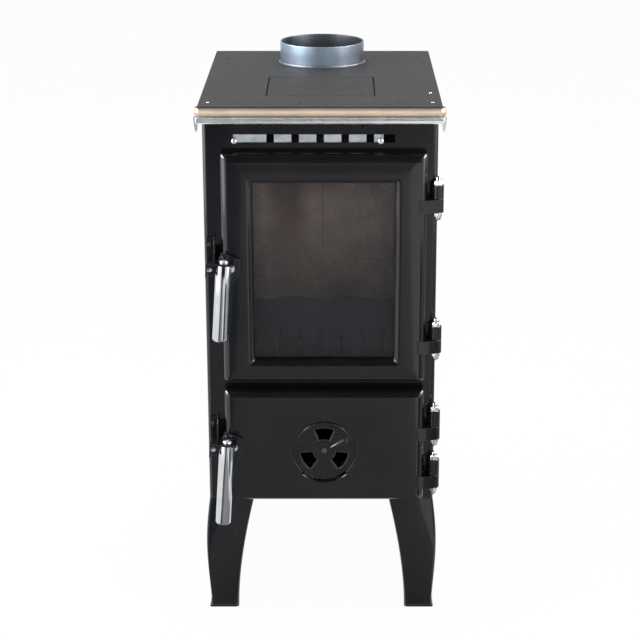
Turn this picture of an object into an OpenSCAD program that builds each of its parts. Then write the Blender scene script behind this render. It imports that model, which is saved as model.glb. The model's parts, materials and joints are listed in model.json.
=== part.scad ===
// Small solid-fuel cooking stove on four pressed legs: a glazed fire door over
// an ash door, a rotary air valve, a sliding top air grille, a lift-out cooking
// lid, a flue collar and a towel rail under the plate's front edge.
// Millimetres. +X is right, +Y is the back and +Z is up. The origin is on the
// floor, under the middle of the overall box. Depths called "reach" are
// measured forward from the front of the casing.

/* [Cooking plate] */
// Width of the cooking plate
plate_w = 340; // [336:2:380]
// Depth of the cooking plate
plate_d = 450; // [445:5:520]
// Thickness of the cooking plate
plate_t = 6; // [4:0.5:8]
// Radius of the plate's corners
plate_r = 4; // [2:1:16]
// Distance from the plate's front edge back to the casing
panel_setback = 20; // [14:1:30]

/* [Lid] */
// Width of the lift-out lid
lid_w = 154; // [120:2:180]
// Depth of the lift-out lid
lid_d = 144; // [110:2:160]
// Distance from the plate's front edge to the lid
lid_y = 78; // [60:1:90]
// Gap round the lid
lid_gap = 1.2; // [0.6:0.1:2]
// Thickness of the ledge that the lid rests on
ledge_t = 3; // [2:0.5:5]
// Width of the ledge inside the lid opening
ledge_w = 9; // [6:1:14]
// Height that the lid is lifted
lid_lift = 80; // [40:5:120]

/* [Flue] */
// Outer radius of the flue collar
flue_r = 65; // [55:0.5:70]
// Wall of the flue collar
flue_wall = 2.5; // [1.5:0.25:4]
// Height of the collar above the plate
flue_h = 32; // [25:1:60]
// Distance from the plate's front edge to the collar's axis
flue_y = 359; // [350:1:365]
// Radius of the weld bead round the collar's base
flue_bead = 3.5; // [1.5:0.5:6]

/* [Edge trim and rail] */
// Height of the bright trim along the plate's front
trim_h = 12; // [10:0.5:16]
// Distance from the plate's upper face down to the trim
trim_top = 1.8; // [0.5:0.1:3]
// Length of the trim's returns along the plate's sides
trim_return = 10; // [6:1:30]
// Thickness of the bright trim
trim_t = 5; // [3:0.5:7]
// Radius of the rounded outer face of the trim
trim_round = 9; // [8:0.5:14]
// Radius of the towel rail
rail_r = 4.6; // [3:0.1:5]
// Depth of the rail's axis below the plate's upper face
rail_drop = 18.7; // [18.5:0.1:24]
// Width of a rail bracket's tongue
tongue_w = 8; // [6:0.5:10]
// Depth of a tongue's tip below the plate's upper face
tongue_drop = 35; // [30:1:40]
// Thickness of a rail bracket
tongue_t = 2.5; // [1.5:0.25:3]
// Width of a rail bracket from front to back
tongue_foot = 15; // [10:1:16]
// How far the rail and its brackets reach beyond the plate's sides
rail_over = 6; // [3:0.5:8]
// Radius of the small dome heads in the plate
plate_screw_r = 2; // [1.5:0.25:4]

/* [Casing] */
// Width of the casing
body_w = 331; // [328:1:334]
// Depth of the casing
body_d = 410; // [400:5:412]
// Height of the casing
body_h = 588; // [575:1:600]
// Height of the casing's lower edge above the floor
base_h = 176; // [150:1:180]
// Radius of the casing's front corners
body_r = 6; // [4:0.5:9]
// Thickness of the casing sheet
sheet_t = 2; // [1:0.25:2.5]
// Thickness of the inner front plate and of the firebox shell
inner_t = 3; // [2:0.25:4]
// Gap between the casing and the firebox shell at each side
side_gap = 15.5; // [10:0.5:20]
// Gap between the firebox shell and the back panel
back_gap = 1.5; // [0:0.25:3]
// Radius of the small hole in the casing under the rail
pilot_r = 1.6; // [1:0.1:2.5]

/* [Doors] */
// Width of both doors
door_w = 290; // [284:1:292]
// Distance of the doors' middle to the right of the casing's middle
door_shift = 5; // [4:0.5:6]
// Depth of the pressed doors
door_depth = 24; // [22:0.5:28]
// Radius of the doors' front edges
door_r = 11; // [7:0.5:14]
// Thickness of the door sheet
door_t = 2; // [1.5:0.25:2.5]
// Gap between the casing and the doors' rims
door_gap = 1.5; // [1:0.25:2.5]
// Distance from the plate's upper face down to the fire door
fire_drop = 66; // [62:0.5:70]
// Distance from the casing's lower edge up to the ash door
door_foot = 6; // [4:0.5:10]
// Gap between the doors
doors_gap = 13; // [8:0.5:16]
// Height of the ash door
ash_h = 172; // [165:1:178]
// How far both door openings are narrower than a door, at each edge
door_lap = 25; // [22:0.5:30]
// Extra height of the wall below the fire opening and round the ash opening
sill_lap = 20; // [18:0.5:24]
// Diameter of the doors' rope seals
rope_d = 8; // [6:0.5:8]
// Radial play of each rope in its channel
rope_play = 0.3; // [0.2:0.05:0.5]
// Thickness of the rope channel
channel_t = 2; // [1:0.25:2]
// Height of the channel's inner rib
channel_rib = 4; // [2:0.5:5]

/* [Fire door glass] */
// Distance from the fire door's side edges to the glass
glass_side = 45.5; // [38:0.5:55]
// Average distance from the fire door's top and bottom edges to the glass
glass_end = 38.5; // [36:0.5:55]
// Distance of the glass's middle below the door's middle
glass_sink = 4; // [0:0.5:8]
// Radius of the pressed lip round the glass
lip_r = 10; // [6:0.5:12]
// Thickness of the glass
glass_t = 4; // [3:0.5:5]
// How far the glass laps behind the lip
glass_lap = 7; // [6:0.5:8]
// Thickness of the flat gasket between lip and glass
gasket_t = 1.5; // [1:0.25:2]
// Width of the flat gasket
gasket_w = 5; // [3:0.5:5.5]
// Thickness of the clips that hold the glass
clip_t = 1.5; // [1:0.25:2]
// Width of each clip
clip_w = 16; // [12:1:24]
// Distance of the clips above and below the glass's middle
clip_rise = 85; // [60:1:100]
// Radius of the bosses that carry the clips
boss_r = 4; // [3:0.25:4.5]

/* [Hinges] */
// Radius of the hinge barrels
barrel_r = 7.9; // [7:0.1:9]
// Radius of the hinge pins
pin_r = 4; // [3:0.1:4.5]
// Running clearance round each pin
pin_play = 0.05; // [0.02:0.01:0.08]
// Reach of the hinge axis in front of the casing
hinge_reach = 14; // [13:0.25:15]
// Length of the casing's barrels beside the fire door
fire_barrel = 20; // [16:0.5:24]
// Length of the casing's barrels beside the ash door
ash_barrel = 24; // [18:0.5:25]
// Length of the doors' lugs
lug_h = 19.5; // [16:0.5:24]
// Gap between a barrel and the lug below it
lug_gap = 0.6; // [0.4:0.1:1]
// Top of the fire door's upper lug below the door's top edge
fire_lug_1 = 66; // [60:1:80]
// Top of the fire door's lower lug above the door's bottom edge
fire_lug_2 = 63; // [54:1:80]
// Top of the ash door's upper lug below the door's top edge
ash_lug_1 = 57; // [50:1:64]
// Top of the ash door's lower lug above the door's bottom edge
ash_lug_2 = 39; // [35:1:46]
// Thickness of the casing's hinge leaves
leaf_t = 3; // [2:0.25:4]
// Width across the flats of the acorn nuts
nut_af = 11; // [9.5:0.5:14]
// Height of an acorn nut's hexagon
nut_hex = 5.5; // [5:0.5:8]
// Height of an acorn nut's dome
nut_dome = 7; // [6:0.5:8]

/* [Latches] */
// Distance of the latch pivots to the right of the doors' left edge
pivot_in = 13.5; // [13:0.5:16]
// Fire latch pivot below the fire door's top edge
fire_pivot = 164; // [150:1:190]
// Ash latch pivot below the ash door's top edge
ash_pivot = 85; // [80:1:95]
// Gap between a door's face and its lever
lever_gap = 2; // [1:0.25:3]
// Thickness of the pressed levers
lever_t = 3; // [2:0.25:4]
// Depth of a lever's top web
web_d = 24; // [22:0.5:30]
// How far a lever leans when it is latched, in degrees
lean = 3.7; // [0:0.1:6]
// Radius of a lever's hub
hub_r = 13; // [10:0.5:14]
// Radius of the latch pivots
pivot_r = 4; // [3:0.25:5]
// Radius of the tube grips
grip_r = 11.25; // [9:0.25:11.5]
// Wall of the tube grips
grip_wall = 1.5; // [1:0.25:3]
// Length of the fire door's grip
fire_grip_h = 113; // [90:1:130]
// Length of the ash door's grip
ash_grip_h = 124; // [90:1:130]
// Rounding of a grip's lower end
grip_round = 4; // [2:0.5:6]
// Reach of a catch's upright flange
catch_reach = 22; // [16:0.5:24]
// Height of a catch
catch_h = 52; // [40:1:60]
// Distance from a latch pivot up to its catch's top
catch_rise = 39; // [30:1:42]
// Thickness of a catch
catch_t = 2.5; // [1.5:0.25:3]

/* [Air valve] */
// Radius of the round recess in the ash door
valve_r = 45.2; // [40:0.2:48]
// Depth of the recess
valve_sink = 3; // [2.8:0.1:3.5]
// Distance of the valve's centre below the ash door's middle
valve_drop = 6; // [2:0.5:12]
// Gap between the valve disc and the recess
valve_gap = 1.4; // [0.8:0.1:2]
// Thickness of the valve disc
disc_t = 1.5; // [1:0.1:1.8]
// Extra thickness of the disc away from its windows
disc_step = 0.8; // [0.4:0.1:1]
// Width of the thinner border round each window
step_w = 2.4; // [1.5:0.1:3.5]
// Inner radius of the valve's windows
window_r0 = 17; // [12:0.5:20]
// Outer radius of the valve's windows
window_r1 = 35; // [28:0.5:36]
// Half of each window's angle
window_half = 24; // [16:1:26]
// Number of windows
windows = 3; // [2:1:3]
// How far the disc turns from open to shut
valve_turn = 60; // [50:1:60]
// Extra radius of the pocket in the recess that the disc's stop runs in
pocket_extra = 3.3; // [2:0.1:5]
// Radius of the valve's rivet
rivet_r = 3; // [2:0.25:4]

/* [Sliding air grille] */
// Left end of the slot in the casing
slot_x0 = -122; // [-126:0.5:-110]
// Right end of the slot in the casing
slot_x1 = 105; // [100:0.5:110]
// Height of the slot
slot_h = 11.5; // [9:0.5:14]
// Height of the channel behind the slot, inside its walls
track_h = 22; // [20:0.5:24]
// Thickness of that channel's walls
track_t = 1.5; // [1:0.25:2]
// Distance from the plate's upper face down to the slot's middle
slot_drop = 49; // [47:0.5:50]
// Number of windows in the slider
vents = 5; // [3:1:5]
// Distance between the slider's windows
vent_pitch = 35; // [30:0.5:36]
// Width of each window
vent_w = 10.8; // [8:0.2:12]
// Travel of the slider from open to shut
slide_travel = 15; // [13:0.5:15]
// Thickness of the slider
slider_t = 1.5; // [1:0.1:2]
// Play of the slider in front and behind
slider_play = 0.4; // [0.3:0.05:0.6]
// Radius of the slider's finger knobs
knob_r = 4; // [3:0.25:5]
// Reach of the knobs
knob_reach = 20; // [12:0.5:24]

/* [Firebox] */
// Thickness of the firebricks
brick_t = 25; // [20:1:30]
// Height of the firebricks
brick_h = 280; // [240:5:300]
// Joint between neighbouring bricks
brick_joint = 0.6; // [0.4:0.1:1]
// Distance from the fire door's lower edge down to the grate's tray
tray_drop = 7; // [2:0.5:10]
// Thickness of the grate's tray
tray_t = 4; // [3:0.5:5]
// Width of the grate
grate_w = 180; // [150:2:190]
// Length of the grate
grate_l = 230; // [180:2:240]
// Thickness of the grate's rim
grate_rim = 5; // [4:0.5:6]
// Depth of the grate's bars
grate_deep = 14; // [10:1:18]
// Number of slots in the grate
grate_slots = 9; // [5:1:10]
// Width of each slot
grate_slot_w = 9; // [6:0.5:10]
// Height of the log retainer
retainer_h = 120; // [90:1:130]
// Thickness of the log retainer
retainer_t = 4; // [3:0.5:6]
// Distance from the casing's front to the log retainer
retainer_y = 24; // [18:1:30]
// Height of the waves along the log retainer's top
retainer_wave = 3; // [0:0.5:5]
// Number of slots in the log retainer
retainer_slots = 7; // [3:1:8]
// Thickness of the smoke baffle
baffle_t = 5; // [3:0.5:6]
// Length of the smoke baffle
baffle_l = 300; // [260:5:320]

/* [Ash pan] */
// Width of the ash pan
pan_w = 222; // [180:2:228]
// Length of the ash pan
pan_l = 300; // [240:5:320]
// Height of the ash pan
pan_h = 50; // [35:1:60]
// Thickness of the ash pan's sheet
pan_t = 1.5; // [1:0.25:2]
// Width of the ash pan's pull
pull_w = 90; // [60:2:110]

/* [Legs] */
// Width of a leg's foot
foot_w = 41; // [34:1:46]
// Extra width of a leg at its top
leg_spread = 25; // [15:1:35]
// Outward bulge of a leg
leg_bulge = 5.5; // [2:0.5:6]
// Outward flare of a leg's foot
leg_flare = 3; // [1:0.5:4]
// Thickness of the leg's sheet
leg_t = 2.5; // [2:0.25:3.5]
// Depth of the lips along a leg's inner edges
leg_lip = 9; // [6:0.5:14]
// Thickness of the foot plate
foot_t = 4; // [2:0.5:6]

/* [Hidden] */
$fn = 48;
// Overlap used only to make cuts run through a face
cut = 1;
// Gap left where a curved piece rests against another
seat_gap = 0.3;

// Colours
c_plate = "#5d5e60";
c_enamel = "#26282c";
c_black = "#1b1c1f";
c_chrome = "#d3d6da";
c_zinc = "#b9bfc4";
c_iron = "#3c3e42";
c_brick = "#b98f6a";
c_rope = "#4b4a47";
c_glass = "#6d6259";

// Levels, from the floor up
plate_low = base_h + body_h;
plate_h = plate_low + plate_t;
base_top = base_h + sheet_t;
ash_low = base_h + door_foot;
ash_mid = ash_low + ash_h / 2;
ash_top = ash_low + ash_h;
fire_low = ash_top + doors_gap;
fire_top = plate_h - fire_drop;
fire_h = fire_top - fire_low;
fire_mid = fire_low + fire_h / 2;
slot_z = plate_h - slot_drop;
fire_open_z0 = fire_low + sill_lap;
fire_open_z1 = fire_top - sill_lap;
ash_open_z0 = ash_low + sill_lap;
ash_open_z1 = ash_top - sill_lap;
tray_top = fire_low - tray_drop;
brick_top = tray_top + brick_h;
frame_top = slot_z - track_h / 2 - track_t - 2;

// Places from front to back
face_reach = door_gap + door_depth;
lever_reach = face_reach + lever_gap;
front_reach = lever_reach + lever_t + web_d - panel_setback;
front_y = (front_reach - plate_d) / 2;
panel_y = front_y + panel_setback;
back_y = panel_y + body_d;
frame_y = panel_y + sheet_t;
shell_y0 = frame_y + inner_t;
shell_y1 = back_y - sheet_t - back_gap;
brick_y0 = shell_y0 + 4;
brick_y1 = shell_y1 - inner_t;
face_y = panel_y - face_reach;
lever_y = panel_y - lever_reach;

// Places across
shell_w = body_w - 2 * sheet_t - 2 * side_gap;
hearth_w = shell_w - 2 * inner_t;
open_w = door_w - 2 * door_lap;
door_x = door_shift;
door_left = door_x - door_w / 2;
hinge_x = body_w / 2;
pivot_x = door_left + pivot_in;

// Sizes that follow from others
glass_w = door_w - 2 * glass_side;
glass_h = fire_h - 2 * glass_end;
rope_bend = rope_d / 2 + 0.5;
glass_front = lip_r + gasket_t;
glass_back = glass_front + glass_t;
glass_rise = -glass_sink;
pane_w = glass_w + 2 * glass_lap;
pane_h = glass_h + 2 * glass_lap;
clip_x = pane_w / 2 + boss_r + 4;
rope_back = rope_play + rope_d;
disc_r = valve_r - valve_gap;
grip_drop = 12.3;
lug_tops = [fire_top - fire_lug_1, fire_low + fire_lug_2, ash_top - ash_lug_1, ash_low + ash_lug_2];
barrels = [fire_barrel, fire_barrel, ash_barrel, ash_barrel];
fire_pivot_z = fire_top - fire_pivot;
ash_pivot_z = ash_top - ash_pivot;

// ---------- shared shapes ----------

// Box given by its middle in x, its low y and z, and its size
module slab(x, y, z, w, d, h) {
    translate([x - w / 2, y, z]) cube([w, d, h]);
}

// Upright plate with round corners in plan, from z up by h
module round_plate(x, y, z, w, d, h, r) {
    slab(x, y + r, z, w, d - 2 * r, h);
    slab(x, y, z, w - 2 * r, d, h);
    for (sx = [-1, 1], cy = [y + r, y + d - r])
        translate([x + sx * (w / 2 - r), cy, z]) cylinder(r = r, h = h);
}

// Outline that is square behind and round at its front corners
module front_outline(w, d, r, over = 0) {
    translate([-w / 2, r - d]) square([w, d - r + over]);
    translate([r - w / 2, -d]) square([w - 2 * r, d]);
    for (sx = [-1, 1])
        translate([sx * (w / 2 - r), r - d]) circle(r = r);
}

// Block with mitred, rounded front edges on all four sides; its back is at y = 0
module soft_block(w, h, d, r, over = 0) {
    intersection() {
        translate([0, 0, -h / 2]) linear_extrude(h) front_outline(w, d, r, over);
        rotate([0, 90, 0]) translate([0, 0, -w / 2]) linear_extrude(w) front_outline(h, d, r, over);
    }
}

// Upright frame in a plane across y, from y back by t
module flat_ring(w, h, inner_w, inner_h, t) {
    difference() {
        slab(0, 0, -h / 2, w, t, h);
        slab(0, -cut, -inner_h / 2, inner_w, t + 2 * cut, inner_h);
    }
}

// Pie slice of a ring, from r0 to r1, centred on the angle a
module ring_slice(r0, r1, half, a, h) {
    rotate([0, 0, a]) linear_extrude(h) intersection() {
        difference() {
            circle(r = r1);
            circle(r = r0);
        }
        polygon([[0, 0], [2 * r1 * cos(half), -2 * r1 * sin(half)], [2 * r1 * cos(half), 2 * r1 * sin(half)]]);
    }
}

// Turns a shape drawn in x and y so that it stands up, with its height towards the front
module face_on() {
    rotate([90, 0, 0]) children();
}

// Dome of radius r and height h on a flat base
module dome(r, h) {
    ball = (r * r + h * h) / (2 * h);
    intersection() {
        translate([0, 0, h - ball]) sphere(r = ball, $fn = 96);
        cylinder(r = r, h = h);
    }
}

// Low head with a sloping rim
module button(r, h) {
    cylinder(r = r, h = h / 2);
    translate([0, 0, h / 2]) cylinder(r1 = r, r2 = r - h, h = h / 2);
}

// Hexagon head of a given width across flats
module hex(af, h) {
    cylinder(r = af / sqrt(3), h = h, $fn = 6);
}

// ---------- cooking plate and what is on it ----------

module cooking_plate() {
    color(c_plate) difference() {
        round_plate(0, front_y, plate_low, plate_w, plate_d, plate_t, plate_r);
        slab(0, front_y + lid_y - lid_gap, plate_low - cut,
             lid_w + 2 * lid_gap, lid_d + 2 * lid_gap, plate_t + 2 * cut);
        translate([0, front_y + flue_y, plate_low - cut])
            cylinder(r = flue_r + pin_play, h = plate_t + 2 * cut);
    }
}

// Ring under the plate that the lid drops onto
module lid_ledge() {
    color(c_iron) difference() {
        slab(0, front_y + lid_y - ledge_w, plate_low - ledge_t,
             lid_w + 2 * ledge_w, lid_d + 2 * ledge_w, ledge_t);
        slab(0, front_y + lid_y + ledge_w, plate_low - ledge_t - cut,
             lid_w - 2 * ledge_w, lid_d - 2 * ledge_w, ledge_t + 2 * cut);
    }
}

module cooking_lid() {
    color(c_plate) slab(0, front_y + lid_y, plate_low, lid_w, lid_d, plate_t);
}

// Tube with a weld bead where it leaves the plate
module flue_collar() {
    bead = [for (a = [0:15:90]) [flue_r + flue_bead * (1 - sin(a)), flue_bead * (1 - cos(a))]];
    color("#8fa3b5") translate([0, front_y + flue_y, plate_h]) rotate_extrude()
        polygon(concat([[flue_r - flue_wall, -plate_t], [flue_r, -plate_t], [flue_r, 0]], bead,
                        [[flue_r, flue_h], [flue_r - flue_wall, flue_h]]));
}

// Section of the trim: flat against the plate and bulging outwards
module trim_section() {
    translate([0, -trim_h / 2]) intersection() {
        square([trim_t, trim_h]);
        translate([trim_t - trim_round, trim_h / 2]) circle(r = trim_round);
    }
}

// Bright band along the front of the plate, with a short return at each side
module edge_trim() {
    z = plate_h - trim_top - trim_h / 2;
    side_l = trim_return;
    color(c_chrome) translate([0, front_y, z]) {
        for (sx = [-1, 1]) {
            translate([sx * (plate_w / 2 - plate_r), plate_r, 0]) intersection() {
                rotate_extrude() translate([plate_r, 0]) trim_section();
                translate([sx > 0 ? 0 : -2 * plate_r, -2 * plate_r, -trim_h])
                    cube([2 * plate_r, 2 * plate_r, 2 * trim_h]);
            }
            translate([sx * plate_w / 2, plate_r, 0]) mirror([sx < 0 ? 1 : 0, 0, 0])
                translate([0, side_l, 0]) rotate([90, 0, 0]) linear_extrude(side_l) trim_section();
        }
        translate([-plate_w / 2 + plate_r, 0, 0]) rotate([90, 0, 90])
            linear_extrude(plate_w - 2 * plate_r) mirror([1, 0]) trim_section();
    }
}

module towel_rail() {
    len = plate_w + 2 * (rail_over - tongue_w / 2);
    color(c_chrome) translate([-len / 2, front_y - rail_r - seat_gap, plate_h - rail_drop])
        rotate([0, 90, 0]) cylinder(r = rail_r, h = len);
}

// Each bracket: a strip bent out from under the plate, and a tapered tongue behind the rail
module rail_bracket() {
    tip = tongue_w / 4;
    foot_z = plate_low - plate_h;
    arm_z = -trim_top - trim_h - 0.5;
    riser_x = -rail_over - tongue_t - 16;
    foot_l = 20;
    mid = -tongue_w / 2;
    translate([0, tongue_foot + 2, 0]) face_on() linear_extrude(tongue_foot)
        polygon([[riser_x - foot_l, foot_z], [riser_x + tongue_t, foot_z], [riser_x + tongue_t, arm_z],
                 [0, arm_z], [0, arm_z - tongue_t], [riser_x, arm_z - tongue_t],
                 [riser_x, foot_z - tongue_t], [riser_x - foot_l, foot_z - tongue_t]]);
    translate([0, 2 + tongue_t, 0]) face_on() linear_extrude(2 + tongue_t) {
        polygon([[-tongue_w, arm_z], [0, arm_z], [0, -rail_drop], [mid + tip, tip - tongue_drop],
                 [mid - tip, tip - tongue_drop], [-tongue_w, -rail_drop]]);
        translate([mid, tip - tongue_drop]) circle(r = tip);
    }
}

module rail_brackets() {
    color(c_chrome) for (m = [0, 1]) mirror([m, 0, 0])
        translate([plate_w / 2 + rail_over, front_y, plate_h]) rail_bracket();
}

// Small dome heads: the corners, one behind the right front corner and a row along the front
module plate_screws() {
    row = [-117, -86, -29, 10, 75, 111];
    corner_x = plate_w / 2 - 13;
    row_y = 29;
    side_y = 98;
    rear_in = 9;
    rear_y = 69;
    spots = concat([[-corner_x, row_y], [corner_x, row_y], [corner_x, side_y]],
                   [for (x = row) [x, row_y]],
                   [for (sx = [-1, 1]) [sx * (corner_x - rear_in), plate_d - rear_y]]);
    color(c_zinc) for (p = spots)
        translate([p[0], front_y + p[1], plate_h]) button(plate_screw_r, 1);
}

// ---------- casing ----------

module casing_outline(inset) {
    w = body_w - 2 * inset;
    translate([0, back_y]) front_outline(w, body_d - inset, body_r - inset);
}

module door_openings(y, depth) {
    slab(door_x, y, fire_open_z0, open_w, depth, fire_open_z1 - fire_open_z0);
    slab(door_x, y, ash_open_z0, open_w, depth, ash_open_z1 - ash_open_z0);
}

// Front and sides in one folded sheet
module casing() {
    inside_w = body_w - 2 * sheet_t;
    color(c_enamel) difference() {
        translate([0, 0, base_h]) linear_extrude(plate_low - base_h) difference() {
            casing_outline(0);
            casing_outline(sheet_t);
            translate([-inside_w / 2, back_y - cut]) square([inside_w, 2 * cut]);
        }
        door_openings(panel_y - cut, sheet_t + 2 * cut);
        translate([slot_x0, panel_y - cut, slot_z - slot_h / 2])
            cube([slot_x1 - slot_x0, sheet_t + 2 * cut, slot_h]);
        translate([60, panel_y - cut, plate_h - 31]) rotate([-90, 0, 0])
            cylinder(r = pilot_r, h = sheet_t + 2 * cut);
    }
}

// Flat sheet let in between the sides, with a folded rim
module back_panel() {
    w = body_w - 2 * sheet_t;
    h = plate_low - base_top;
    rim = 12;
    color(c_black) {
        slab(0, back_y - sheet_t, base_top, w, sheet_t, h);
        for (sx = [-1, 1])
            slab(sx * (w - sheet_t) / 2, back_y - sheet_t - rim, base_top, sheet_t, rim, h);
    }
}

// Pan heads along both edges of the back panel
module back_screws() {
    color(c_zinc) for (sx = [-1, 1], k = [0:3])
        translate([sx * (body_w / 2 - sheet_t - 8), back_y,
                   base_top + 30 + k * (plate_low - base_top - 60) / 3])
            rotate([-90, 0, 0]) dome(4, 2);
}

module base_plate() {
    color(c_black) translate([0, 0, base_h]) linear_extrude(sheet_t) casing_outline(sheet_t);
}

// Stiff plate behind the casing's front, with the same two openings
module front_frame() {
    color(c_iron) difference() {
        slab(0, frame_y, base_top, body_w - 2 * body_r, inner_t, frame_top - base_top);
        door_openings(frame_y - cut, inner_t + 2 * cut);
    }
}

// Channel behind the slot: the slider runs between it and the casing
module air_grille() {
    x0 = slider_x0 - slider_play;
    x1 = slot_x1 + track_t + 6;
    w = x1 - x0;
    x = (x0 + x1) / 2;
    deep = slider_t + 2 * slider_play;
    color(c_iron) difference() {
        slab(x, frame_y, slot_z - track_h / 2 - track_t, w, deep + track_t, track_h + 2 * track_t);
        slab(x, frame_y - cut, slot_z - track_h / 2, w + 2 * cut, deep + cut, track_h);
        vent_row(frame_y, deep + track_t + cut, slot_h);
    }
}

// Windows of the grille and of the slider, which line up when open
module vent_row(y, depth, h) {
    for (k = [0:vents - 1])
        slab((k - (vents - 1) / 2) * vent_pitch, y, slot_z - h / 2, vent_w, depth, h);
}

slider_x0 = slot_x0 - slide_travel - 3;
slider_x1 = slot_x1 - slide_travel - 1.5;

module air_slider() {
    h = track_h - 2 * slider_play;
    y = frame_y + slider_play;
    color(c_zinc) difference() {
        translate([slider_x0, y, slot_z - h / 2]) cube([slider_x1 - slider_x0, slider_t, h]);
        vent_row(y - cut, slider_t + 2 * cut, slot_h + 2);
    }
}

// Two knurled finger screws that push the slider
module slider_knobs() {
    stem = 2;
    y = frame_y + slider_play;
    tall = knob_reach + sheet_t + slider_play;
    head = 5;
    color(c_chrome) for (x = [slot_x0 + stem + 0.6, slider_x1 - knob_r])
        translate([x, y, slot_z]) rotate([90, 0, 0]) {
            cylinder(r = stem, h = tall - head);
            translate([0, 0, tall - head]) cylinder(r = knob_r, h = head - 1);
            translate([0, 0, tall - 1]) dome(knob_r, 1);
        }
}

// ---------- firebox ----------

// Sides and back of the firebox in one bent sheet
module firebox_shell() {
    h = plate_low - base_top;
    color(c_iron) difference() {
        slab(0, shell_y0, base_top, shell_w, shell_y1 - shell_y0, h);
        slab(0, shell_y0 - cut, base_top - cut, hearth_w, shell_y1 - inner_t - shell_y0 + cut, h + 2 * cut);
    }
}

module side_brick(side) {
    len = brick_y1 - brick_t - brick_joint - brick_y0;
    half = (len - brick_joint) / 2;
    color(c_brick) for (k = [0, 1])
        slab(side * (hearth_w - brick_t) / 2, brick_y0 + k * (half + brick_joint), tray_top,
             brick_t, half, brick_h);
}

module firebrick_left() {
    side_brick(-1);
}

module firebrick_right() {
    side_brick(1);
}

module firebrick_back() {
    w = (hearth_w - brick_joint) / 2;
    color(c_brick) for (sx = [-1, 1])
        slab(sx * (w + brick_joint) / 2, brick_y1 - brick_t, tray_top, w, brick_t, brick_h);
}

grate_y = (brick_y0 + brick_y1 - brick_t) / 2 - grate_l / 2;

module grate_tray() {
    lap = 8;
    color(c_iron) difference() {
        slab(0, shell_y0, tray_top - tray_t, hearth_w, brick_y1 - shell_y0, tray_t);
        slab(0, grate_y + lap, tray_top - tray_t - cut, grate_w - 2 * lap, grate_l - 2 * lap, tray_t + 2 * cut);
    }
}

// Cast grate: a rim on the tray, and slotted bars that hang through it
module grate() {
    lap = 9;
    pitch = (grate_w - 4 * lap) / grate_slots;
    color(c_black) difference() {
        union() {
            round_plate(0, grate_y, tray_top, grate_w, grate_l, grate_rim, 8);
            slab(0, grate_y + lap, tray_top + grate_rim - grate_deep,
                 grate_w - 2 * lap, grate_l - 2 * lap, grate_deep);
        }
        for (k = [0:grate_slots - 1], half = [0, 1])
            slab((k - (grate_slots - 1) / 2) * pitch, grate_y + 2 * lap + half * (grate_l - 3 * lap) / 2,
                 tray_top - grate_deep, grate_slot_w, (grate_l - 5 * lap) / 2, 2 * grate_deep);
    }
}

// Upright plate that keeps the logs off the glass, with a wavy top and air slots
module log_retainer() {
    w = hearth_w - 2 * brick_t - 4;
    pitch = w / (retainer_slots + 1);
    wave = [for (k = [0:24]) [w / 2 - k * w / 24, retainer_h + retainer_wave * cos(k * 45)]];
    slot_low = 36;
    slot_tall = 38;
    slot_r = 3;
    lug_w = 22;
    lug_d = 14;
    lug_t = 3;
    color("#454b55") {
        translate([0, panel_y + retainer_y + retainer_t, tray_top]) face_on()
            linear_extrude(retainer_t) difference() {
                polygon(concat([[-w / 2, 0], [w / 2, 0]], wave));
                for (k = [1:retainer_slots]) translate([k * pitch - w / 2, slot_low]) {
                    translate([-slot_r, 0]) square([2 * slot_r, slot_tall]);
                    for (e = [0, slot_tall]) translate([0, e]) circle(r = slot_r);
                }
            }
        for (sx = [-1, 1])
            slab(sx * w / 3, panel_y + retainer_y + retainer_t, tray_top, lug_w, lug_d, lug_t);
    }
}

// Plate on top of the bricks; smoke passes in front of it and back to the flue
module smoke_baffle() {
    color(c_iron) slab(0, brick_y1 - baffle_l, brick_top, hearth_w - 1, baffle_l, baffle_t);
}

pan_y = shell_y0 + 14;

// Folded pan, open above, with a rolled front lip
module ash_pan() {
    color(c_zinc) {
        difference() {
            slab(door_x, pan_y, base_top, pan_w, pan_l, pan_h);
            slab(door_x, pan_y + pan_t, base_top + pan_t, pan_w - 2 * pan_t, pan_l - 2 * pan_t, pan_h);
        }
        difference() {
            translate([door_x - pan_w / 2, pan_y, base_top + pan_h - 3]) rotate([0, 90, 0])
                cylinder(r = 3, h = pan_w);
            slab(door_x, pan_y, base_top, pan_w + cut, 10, pan_h + 4);
        }
    }
}

// Flat bar pull riveted to the front of the ash pan
module ash_pan_pull() {
    z = base_top + pan_h / 2;
    reach = 11;
    bar = 3;
    tall = 10;
    color(c_chrome) {
        slab(door_x, pan_y - reach, z - tall / 2, pull_w, bar, tall);
        for (sx = [-1, 1])
            slab(door_x + sx * (pull_w - bar) / 2, pan_y - reach, z - tall / 2, bar, reach, tall);
    }
}

// ---------- legs ----------

leg_steps = 12;

// Outer edge of a leg, measured inwards from the casing's side
function leg_out(z) = -leg_bulge * sin(180 * pow(z / base_h, 1.3)) - leg_flare * pow(max(0, 1 - z / 14), 2);
// Inner edge of a leg
function leg_in(z) = foot_w + leg_spread * pow(z / base_h, 1.75);

module leg_outline(inset) {
    zs = [for (k = [0:leg_steps]) base_h * k / leg_steps];
    polygon(concat([[leg_out(0) + inset, 0], [leg_out(7) + inset, 7]],
                   [for (k = [1:leg_steps]) [leg_out(zs[k]) + inset, zs[k]]],
                   [for (k = [leg_steps:-1:0]) [leg_in(zs[k]) - inset, zs[k]]]));
}

// Square post whose four sides follow the leg's outline
module leg_post(inset) {
    deep = foot_w + leg_spread + 4 * leg_bulge;
    intersection() {
        translate([0, deep - 2 * leg_bulge, 0]) face_on() linear_extrude(deep) leg_outline(inset);
        translate([-2 * leg_bulge, 0, 0]) rotate([90, 0, 90]) linear_extrude(deep) leg_outline(inset);
    }
}

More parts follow.
